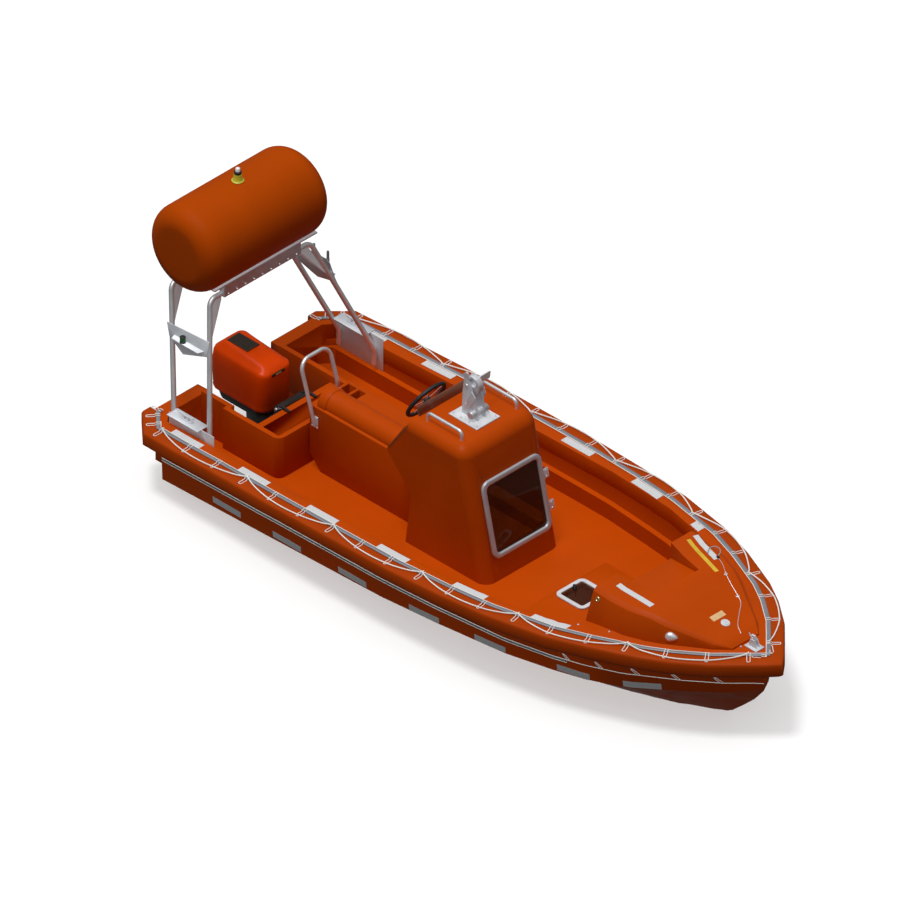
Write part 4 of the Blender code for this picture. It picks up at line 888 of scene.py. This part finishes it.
def make_post(end, side, label, foot, top, height):
    """Leaning post with the gusset in its upper bend."""
    path = rounded([spot(foot, side * POST_FOOT[0], -0.15), spot(foot, side * POST_FOOT[0], POST_FOOT[1]),
                    spot(top, side * post_breadth(height), height), spot(top, side * 0.4503, height)],
                   0.09, 10)
    tube = piece("post_%s_%s" % (end, label), STEEL, sweep(path, POST_RADIUS * 0.985, 28))
    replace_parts(tube, "arch_post_%s_%s" % (end, label))
    low = height - 0.31
    low_d = foot + (top - foot) * (low - POST_FOOT[1]) / (height - POST_FOOT[1])
    corners = [spot(low_d, side * (post_breadth(low) - 0.022), low),
               spot(top, side * (post_breadth(height) - 0.03), height - 0.02),
               spot(top, side * 0.455, height - 0.02), spot(top, side * 0.455, height - 0.055)]
    piece("gusset_%s_%s" % (end, label), PALE_METAL,
          skin([[c + Vector((shift, 0, 0)) for c in corners] for shift in (-0.003, 0.003)]))


def make_cleat(side, label):
    """Two-horned cleat on the flange between the posts."""
    breadth, top = side * 0.985, 0.1223
    horns = [spot(0.415 + 0.16 * i / 8, breadth, top + 0.036 + 0.008 * abs(i - 4) / 4) for i in range(9)]
    piece("cleat_" + label, PLATE, box((0.43, 0.56), (breadth - 0.018, breadth + 0.018), (top, top + 0.006)),
          *[rod(spot(d, breadth, top + 0.004), UP * 0.03, 0.009, 0.008, 16) for d in (0.47, 0.52)],
          sweep(horns, 0.008))


def make_lamp(side, label):
    """Side lamp: black housing, coloured lens and a cap."""
    low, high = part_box("side_lamp_" + label)
    foot = Vector(((low.x + high.x) / 2, (low.y + high.y) / 2, low.z))
    base = [(0.025, 0.0), (0.027, 0.002), (0.027, 0.010), (0.023, 0.013)]
    cap = [(0.022, 0.046), (0.027, 0.048), (0.027, 0.056), (0.019, 0.061), (0.005, 0.0615)]
    housing = piece("lamp_housing_" + label, RUBBER, turned(base, foot, UP, 32), turned(cap, foot, UP, 32))
    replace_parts(housing, "side_lamp_" + label)
    lens = [(0.022, 0.012), (0.0245, 0.019), (0.0255, 0.030), (0.0245, 0.041), (0.0215, 0.048)]
    look, slot = (LAMP_GREEN, "lamp_green") if side < 0 else (LAMP_RED, "lamp_red")
    piece("lamp_lens_" + label, look, turned(lens, foot, UP, 32), slot=slot)


def make_antenna_plate():
    """Raised plate above the port bracket with two short sockets for whip antennas."""
    reach = 0.027
    corners = [(0.10, 0.72), (0.10, 0.90), (0.47, 0.925), (0.50, 0.89), (0.50, 0.72)]
    bevel(piece("antenna_plate", PLATE, skin([[spot(d, post_breadth(h) + reach + out, h) for d, h in corners]
                                              for out in (0.0068, 0.0118)])), 0.0015)
    socket = [(0.011, 0.0), (0.0145, 0.002), (0.0145, 0.075), (0.012, 0.078), (0.012, 0.145), (0.009, 0.15)]
    breadth = post_breadth(0.80) + reach + 0.024
    piece("antenna_sockets", RAIL, *[turned(socket, spot(d, breadth, top - 0.15), UP, 20)
                                     for d, top in ((0.268, 0.95), (0.432, 0.955))])


def make_arch():
    """Posts with gussets, cleats, lamps, the antenna plate and the bolts of the fore beam."""
    for side, label in SIDES:
        make_post("fore", side, label, 0.751, 0.370, 1.088)
        make_post("aft", side, label, 0.334, -0.07, 1.048)
        make_cleat(side, label)
        make_lamp(side, label)
    make_antenna_plate()
    piece("cradle_bolts", STEEL, *[rod(spot(0.4052, -0.40 + 0.10 * k, 1.078), Vector((0.006, 0, 0)),
                                       0.009, 0.008, 6) for k in range(9)])


def make_canister():
    """Container of the self-righting bag."""
    radius, half, soft = 0.40, 0.734, 0.17
    middle_d, middle_h = 0.131, 1.503
    end = [(0.10, half), (radius - soft, half)]
    for i in range(1, 13):
        angle = radians(90) * i / 12
        end.append((radius - soft + soft * sin(angle), half - soft + soft * cos(angle)))
    rings = [[spot(middle_d + r * cos(a), b, middle_h + r * sin(a)) for a in circle(96)]
             for r, b in end + [(r, -b) for r, b in reversed(end)]]
    drum = piece("canister_shell", DRUM, skin(rings), slot="hull_orange", angle=60)
    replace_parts(drum, "canister")


def make_beacon():
    """Flashing light: flared base with screws, black ring and a clear dome."""
    low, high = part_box("beacon")
    centre = Vector(((low.x + high.x) / 2, (low.y + high.y) / 2, low.z))
    flare = [(0.053, 0.0), (0.054, 0.002), (0.054, 0.007), (0.047, 0.011), (0.040, 0.022), (0.0345, 0.070)]
    base = piece("beacon_base", BEACON_BASE, turned(flare, centre, UP, 48), slot="beacon_base")
    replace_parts(base, "beacon")
    ring = [(0.031, 0.0702), (0.033, 0.073), (0.033, 0.096), (0.029, 0.099)]
    piece("beacon_ring", RUBBER, turned(ring, centre, UP, 48))
    dome = [(0.021, 0.0992), (0.021, 0.118), (0.018, 0.127), (0.010, 0.132), (0.002, 0.133)]
    piece("beacon_dome", LAMP_WHITE, turned(dome, centre, UP, 48))
    piece("beacon_screws", STEEL, *[
        turned([(0.004, 0.0), (0.004, 0.002), (0.002, 0.003)],
               centre + Vector((0.0495 * cos(angle), 0.0495 * sin(angle), 0.0085)), UP, 8)
        for angle in [radians(45 + 90 * i) for i in range(4)]])


# Outboard engine

STEER = "engine_steer_body"


def engine_ring(height, aft, front, half, corner, droop=0.0):
    """Rounded rectangle in plan whose height falls towards the front."""
    level, reach, power = 0.20, 0.42, 1.6
    return [spot(d, b, height - droop * max(0.0, (d - level) / reach) ** power)
            for d, b in oblong((aft, -half), (front, half), corner)]


# Rings from below: height, aft end, front end, half-breadth, corner radius, droop at the front
COWL = [(-0.199, -0.030, 0.562, 0.160, 0.088), (-0.191, -0.052, 0.584, 0.178, 0.098),
        (-0.170, -0.060, 0.592, 0.183, 0.100), (-0.150, -0.057, 0.589, 0.180, 0.098),
        (-0.135, -0.060, 0.592, 0.181, 0.098), (0.00, -0.062, 0.594, 0.183, 0.094),
        (0.10, -0.058, 0.594, 0.182, 0.086, 0.01), (0.175, -0.046, 0.590, 0.176, 0.078, 0.02),
        (0.205, -0.034, 0.586, 0.168, 0.072, 0.025), (0.214, -0.026, 0.582, 0.160, 0.070, 0.03),
        (0.262, 0.025, 0.572, 0.130, 0.060, 0.075), (0.278, 0.040, 0.560, 0.118, 0.056, 0.085),
        (0.286, 0.058, 0.545, 0.102, 0.048, 0.088), (0.289, 0.10, 0.50, 0.07, 0.04, 0.075)]
PAN = [(-0.300, 0.03, 0.52, 0.122, 0.07), (-0.285, 0.010, 0.535, 0.142, 0.078),
       (-0.24, -0.004, 0.543, 0.151, 0.08), (-0.2005, -0.008, 0.543, 0.153, 0.08)]


def make_cowl():
    """Engine cowl with its shoulder, top vent, front latch, and the pan below it."""
    rings, pan_rings = ([engine_ring(*row) for row in table] for table in (COWL, PAN))
    cowl = piece("cowl_shell", PAINT, skin(rings), body=STEER, slot="engine_red", angle=50)
    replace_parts(cowl, "cowl")
    rounded_box("cowl_top_vent", PANEL_BROWN, (0.075, 0.32), (-0.095, 0.052), (0.2815, 0.2935), 0.004, STEER)
    slats = [box((0.098 + 0.030 * k, 0.112 + 0.030 * k), (-0.082, 0.039), (0.2930, 0.2955)) for k in range(7)]
    piece("cowl_vent_slats", ENGINE_BLACK, *slats, body=STEER)
    rounded_box("cowl_latch_recess", PANEL_BROWN, (0.580, 0.5965), (-0.078, 0.072), (0.150, 0.176),
                0.003, STEER)
    rounded_box("cowl_latch", BRASS, (0.590, 0.5995), (-0.035, 0.030), (0.154, 0.168), 0.003, STEER)
    pan = piece("pan_shell", ENGINE_BLACK, skin(pan_rings), body=STEER, angle=50)
    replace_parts(pan, "lower_pan")


def make_clamp_bolts():
    bolts = []
    for side in (-1, 1):
        bolts += [rod(spot(0.7695, side * 0.155, h), Vector((-0.012, 0, 0)), 0.012, 0.010, 6)
                  for h in (-0.10, -0.21)]
        bolts.append(rod(spot(0.73, side * 0.1643, -0.06), Vector((0, side * 0.012, 0)), 0.016, 0.014, 6))
    piece("clamp_bolts", STEEL, *bolts)


def make_propeller():
    """Propeller with three skewed blades on a bored hub."""
    shaft = -1.16
    hub = [(0.030, 0.003), (0.043, 0.0), (0.045, 0.006), (0.050, 0.09), (0.053, 0.134), (0.050, 0.1395),
           (0.020, 0.1396)]
    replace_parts(piece("propeller_hub", STEEL, turned(hub, spot(0.0, 0, shaft), (1, 0, 0)),
                      body="propeller_body"), "propeller")
    centre = spot(0.065, 0, shaft)
    blades = []
    for k in range(3):
        turn = Matrix.Rotation(2 * pi * k / 3, 4, "X")
        rings = []
        for share in [i / 8 for i in range(9)]:
            reach = 0.045 + 0.123 * share
            chord = 0.052 * (sin(pi * (0.22 + 0.68 * share))) ** 0.6
            pitch = radians(52 - 26 * share)
            thick = 0.006 * (1 - 0.6 * share)
            ring = []
            for angle in circle(14):
                along, across = chord * cos(angle) + 0.012 * share * share, thick * sin(angle)
                ring.append(turn @ Vector((along * sin(pitch) + across * cos(pitch),
                                           along * cos(pitch) - across * sin(pitch), reach)) + centre)
            rings.append(ring)
        blades.append(skin(rings))
    piece("propeller_blades", STEEL, *blades, body="propeller_body", angle=60)


# Foredeck fittings

def make_hatch_lever():
    start = spot(4.06, 0.02, -0.288)
    path = [start, start + Vector((0.02, -0.02, 0.014)), start + Vector((0.055, -0.05, 0.012))]
    piece("hatch_lever", RUBBER, sweep(smooth_path(path, 4), 0.006, 8), body="hatch_body")


def trunk_side(distance, share):
    """Point on the raised foredeck's sloping starboard side, at a share of its height."""
    top, low = read(TRUNK_HEIGHT, distance), read(SHEER, distance)
    height = low + (top - low) * share
    return spot(distance, -(read(TRUNK_BREADTH, distance) + TRUNK_LEAN * (top - height)), height)


def on_trunk(distance, breadth, lift):
    """Point over the raised foredeck's top."""
    return spot(distance, breadth, read(TRUNK_HEIGHT, distance) + lift)


def strip_on_top(name, start, end, width, look):
    """Thin strip laid on the raised foredeck's top."""
    a, b = Vector(start), Vector(end)
    way = (b - a).normalized()
    across = Vector((-way.y, way.x)) * width / 2
    rings = []
    for i in range(7):
        left, right = a.lerp(b, i / 6) - across, a.lerp(b, i / 6) + across
        rings.append([on_trunk(p.x, p.y, lift) for p, lift in
                      ((left, 0.0004), (right, 0.0004), (right, 0.0018), (left, 0.0018))])
    piece(name, look, skin(rings))


def make_release_line():
    """Pull ring of the painter release, its line and the two eyes that lead it forward."""
    ring = on_trunk(5.225, 0.50, 0.013)
    axis = Vector((0.25, -0.35, 1.0)).normalized()
    side = axis.orthogonal().normalized()
    rise = axis.cross(side)
    piece("release_ring", RAIL, sweep([ring + (side * cos(a) + rise * sin(a)) * 0.052 for a in circle(40)],
                                      0.0045, 10, True))
    grip = [(0.004, 0.0), (0.011, 0.002), (0.011, 0.026), (0.004, 0.028)]
    piece("release_grip", RUBBER, turned(grip, on_trunk(5.285, 0.475, 0.012), (1, -0.2, 0.0), 16))
    places = [(5.31, 0.468), (5.40, 0.43), (5.49, 0.372), (5.60, 0.325), (5.716, 0.285), (5.79, 0.25),
              (5.87, 0.15), (5.95, 0.055), (6.03, 0.012)]
    piece("release_line", STEEL, sweep(smooth_path([on_trunk(d, b, 0.009) for d, b in places], 5), 0.003, 8))
    eyes = []
    foot = [(0.016, 0.0), (0.016, 0.002), (0.009, 0.003)]
    for d, b in places[2], places[4]:
        eye = [on_trunk(d, b, 0.010) + Vector((0.0, cos(a), sin(a))) * 0.010 for a in circle(14)]
        eyes += [turned(foot, on_trunk(d, b, 0.0), (0.1, 0, 1), 20), sweep(eye, 0.0025, 6, True)]
    piece("line_eyes", STEEL, *eyes)


def make_vent_cowl():
    """Half-round vent with a drawn-out tail on the foredeck's side."""
    foot = trunk_side(5.655, 0.42)
    along = (trunk_side(5.70, 0.42) - trunk_side(5.61, 0.42)).normalized()
    rise = (trunk_side(5.655, 0.8) - trunk_side(5.655, 0.1)).normalized()
    normal = rise.cross(along).normalized()
    if normal.z < 0:
        normal = -normal
    rings = []
    for lift in [radians(90) * i / 8 for i in range(9)]:
        r = 0.042 * cos(lift) + 0.0005
        rings.append([foot + along * r * cos(a) * (1.0 + 0.65 * max(0.0, cos(a)) ** 3) + rise * r * sin(a)
                      + normal * 0.032 * sin(lift) for a in circle(28)])
    piece("vent_cowl", STEEL, skin(rings))


def make_foredeck_fittings():
    """Tapes, blank plates, release line, ring fitting, vent and filler cap of the raised foredeck."""
    strip_on_top("foredeck_tape_starboard", (5.00, -0.405), (5.39, -0.395), 0.055, TAPE)
    strip_on_top("foredeck_tape_port", (4.96, 0.545), (5.30, 0.455), 0.05, TAPE)
    strip_on_top("blank_plate_port", (4.96, 0.460), (5.42, 0.338), 0.036, LABEL_YELLOW)
    strip_on_top("blank_plate_bow", (5.755, -0.015), (5.810, -0.015), 0.145, LABEL_CREAM)
    make_release_line()
    normal = Vector((0, -1, TRUNK_LEAN)).normalized()
    ring = [(0.010, 0.0), (0.024, 0.0), (0.024, 0.004), (0.020, 0.007), (0.013, 0.007), (0.010, 0.004)]
    piece("ring_fitting", BRASS, turned(ring, trunk_side(4.96, 0.72) + normal * 0.0004, normal, 32))
    make_vent_cowl()
    cap = [(0.038, 0.0), (0.040, 0.004), (0.040, 0.010), (0.034, 0.014), (0.031, 0.013), (0.028, 0.016),
           (0.008, 0.017)]
    piece("filler_cap", WHITE_PLATE, turned(cap, on_trunk(5.872, -0.016, -0.002), (0.30, 0, 1)))


def make_painter_gear():
    """Bolts, pivot and release lever of the painter hook at the bow."""
    low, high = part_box("painter_base")
    middle = (low + high) / 2
    piece("painter_bolts", STEEL, *[
        turned([(0.008, 0.0), (0.008, 0.005), (0.003, 0.006)],
               Vector((middle.x + sx * 0.055, middle.y + sy * 0.038, low.z + 0.0085)), UP, 6)
        for sx in (-1, 1) for sy in (-1, 1)])
    pivot = Vector((middle.x - 0.028, middle.y + 0.034, low.z + 0.020))
    arm = [pivot, pivot + Vector((-0.030, 0.010, 0.012)), pivot + Vector((-0.060, 0.012, 0.030)),
           pivot + Vector((-0.078, 0.010, 0.055))]
    piece("painter_lever", PLATE, sweep(smooth_path(arm, 5), 0.006, 10, squash=0.6),
          turned([(0.011, -0.012), (0.011, 0.012)], pivot, (0, 1, 0), 20))


# Camera and lights

def main_camera():
    """Parallel view from the starboard bow quarter, 35.26 degrees above the horizon."""
    camera = bpy.data.cameras.new("camera")
    camera.type = "ORTHO"
    camera.ortho_scale = 7.5
    camera.clip_end = 100.0
    made = add_object("camera", camera)
    aim, away = Vector((-0.677, 0.019, 1.0)), Vector((1, -1, 1)).normalized()
    made.location = aim + away * 20
    made.rotation_euler = (radians(54.7356), 0, radians(45))
    bpy.context.scene.camera = made


def sun(name, energy, direction, spread, shadow=True):
    data = bpy.data.lights.new(name, "SUN")
    data.energy = energy
    data.angle = radians(spread)
    data.use_shadow = shadow
    made = add_object(name, data)
    made.rotation_euler = Vector(direction).to_track_quat("Z", "Y").to_euler()


def lights():
    """Soft key from above, a little from starboard, an even fill, and a sky that brightens upward."""
    sun("key", 0.95, (0.0, -0.22, 1.0), 12)
    sun("fill", 1.75, (-0.07, -0.22, 1.0), 30, shadow=False)
    world = bpy.data.worlds.new("studio")
    bpy.context.scene.world = world
    nodes = Nodes(world)
    nodes.tree.nodes.clear()
    split = nodes.add("ShaderNodeSeparateXYZ", Vector=nodes.add("ShaderNodeTexCoord").outputs["Generated"])
    ramp = nodes.add("ShaderNodeValToRGB", Fac=nodes.part(split.outputs["Z"], From_Min=-1.0))
    levels = [(0.0, 0.13), (0.47, 0.13), (0.52, 0.12), (0.72, 0.14), (0.93, 0.42), (1.0, 0.48)]
    while len(ramp.color_ramp.elements) < len(levels):
        ramp.color_ramp.elements.new(0.5)
    for element, (position, level) in zip(ramp.color_ramp.elements, levels):
        element.position = position
        element.color = (level, level, level, 1.0)
    sky = nodes.add("ShaderNodeBackground", Color=ramp.outputs["Color"])
    plain = nodes.add("ShaderNodeBackground", Color=(1.0, 1.0, 1.0, 1.0))
    mix = nodes.add("ShaderNodeMixShader", Fac=nodes.add("ShaderNodeLightPath").outputs["Is Camera Ray"])
    nodes.feed(mix.inputs[1], sky.outputs[0])
    nodes.feed(mix.inputs[2], plain.outputs[0])
    nodes.add("ShaderNodeOutputWorld", Surface=mix.outputs[0])


make_floor()
main_camera()
lights()
for row in FINISHES:
    soften(*row)
for node in ("hull", "hull_top"):
    round_off_seam(node)
make_console()
make_wheel()
make_seat()
make_hoop()
make_handrails()
make_hook_gear()
make_arch()
make_canister()
make_beacon()
make_cowl()
make_clamp_bolts()
make_propeller()
make_hatch_lever()
make_foredeck_fittings()
make_painter_gear()
make_deck_tape()
make_hull_tape()
make_lower_rail()
make_deck_bolts()
make_lifelines()

bpy.context.scene.view_settings.view_transform = "Standard"
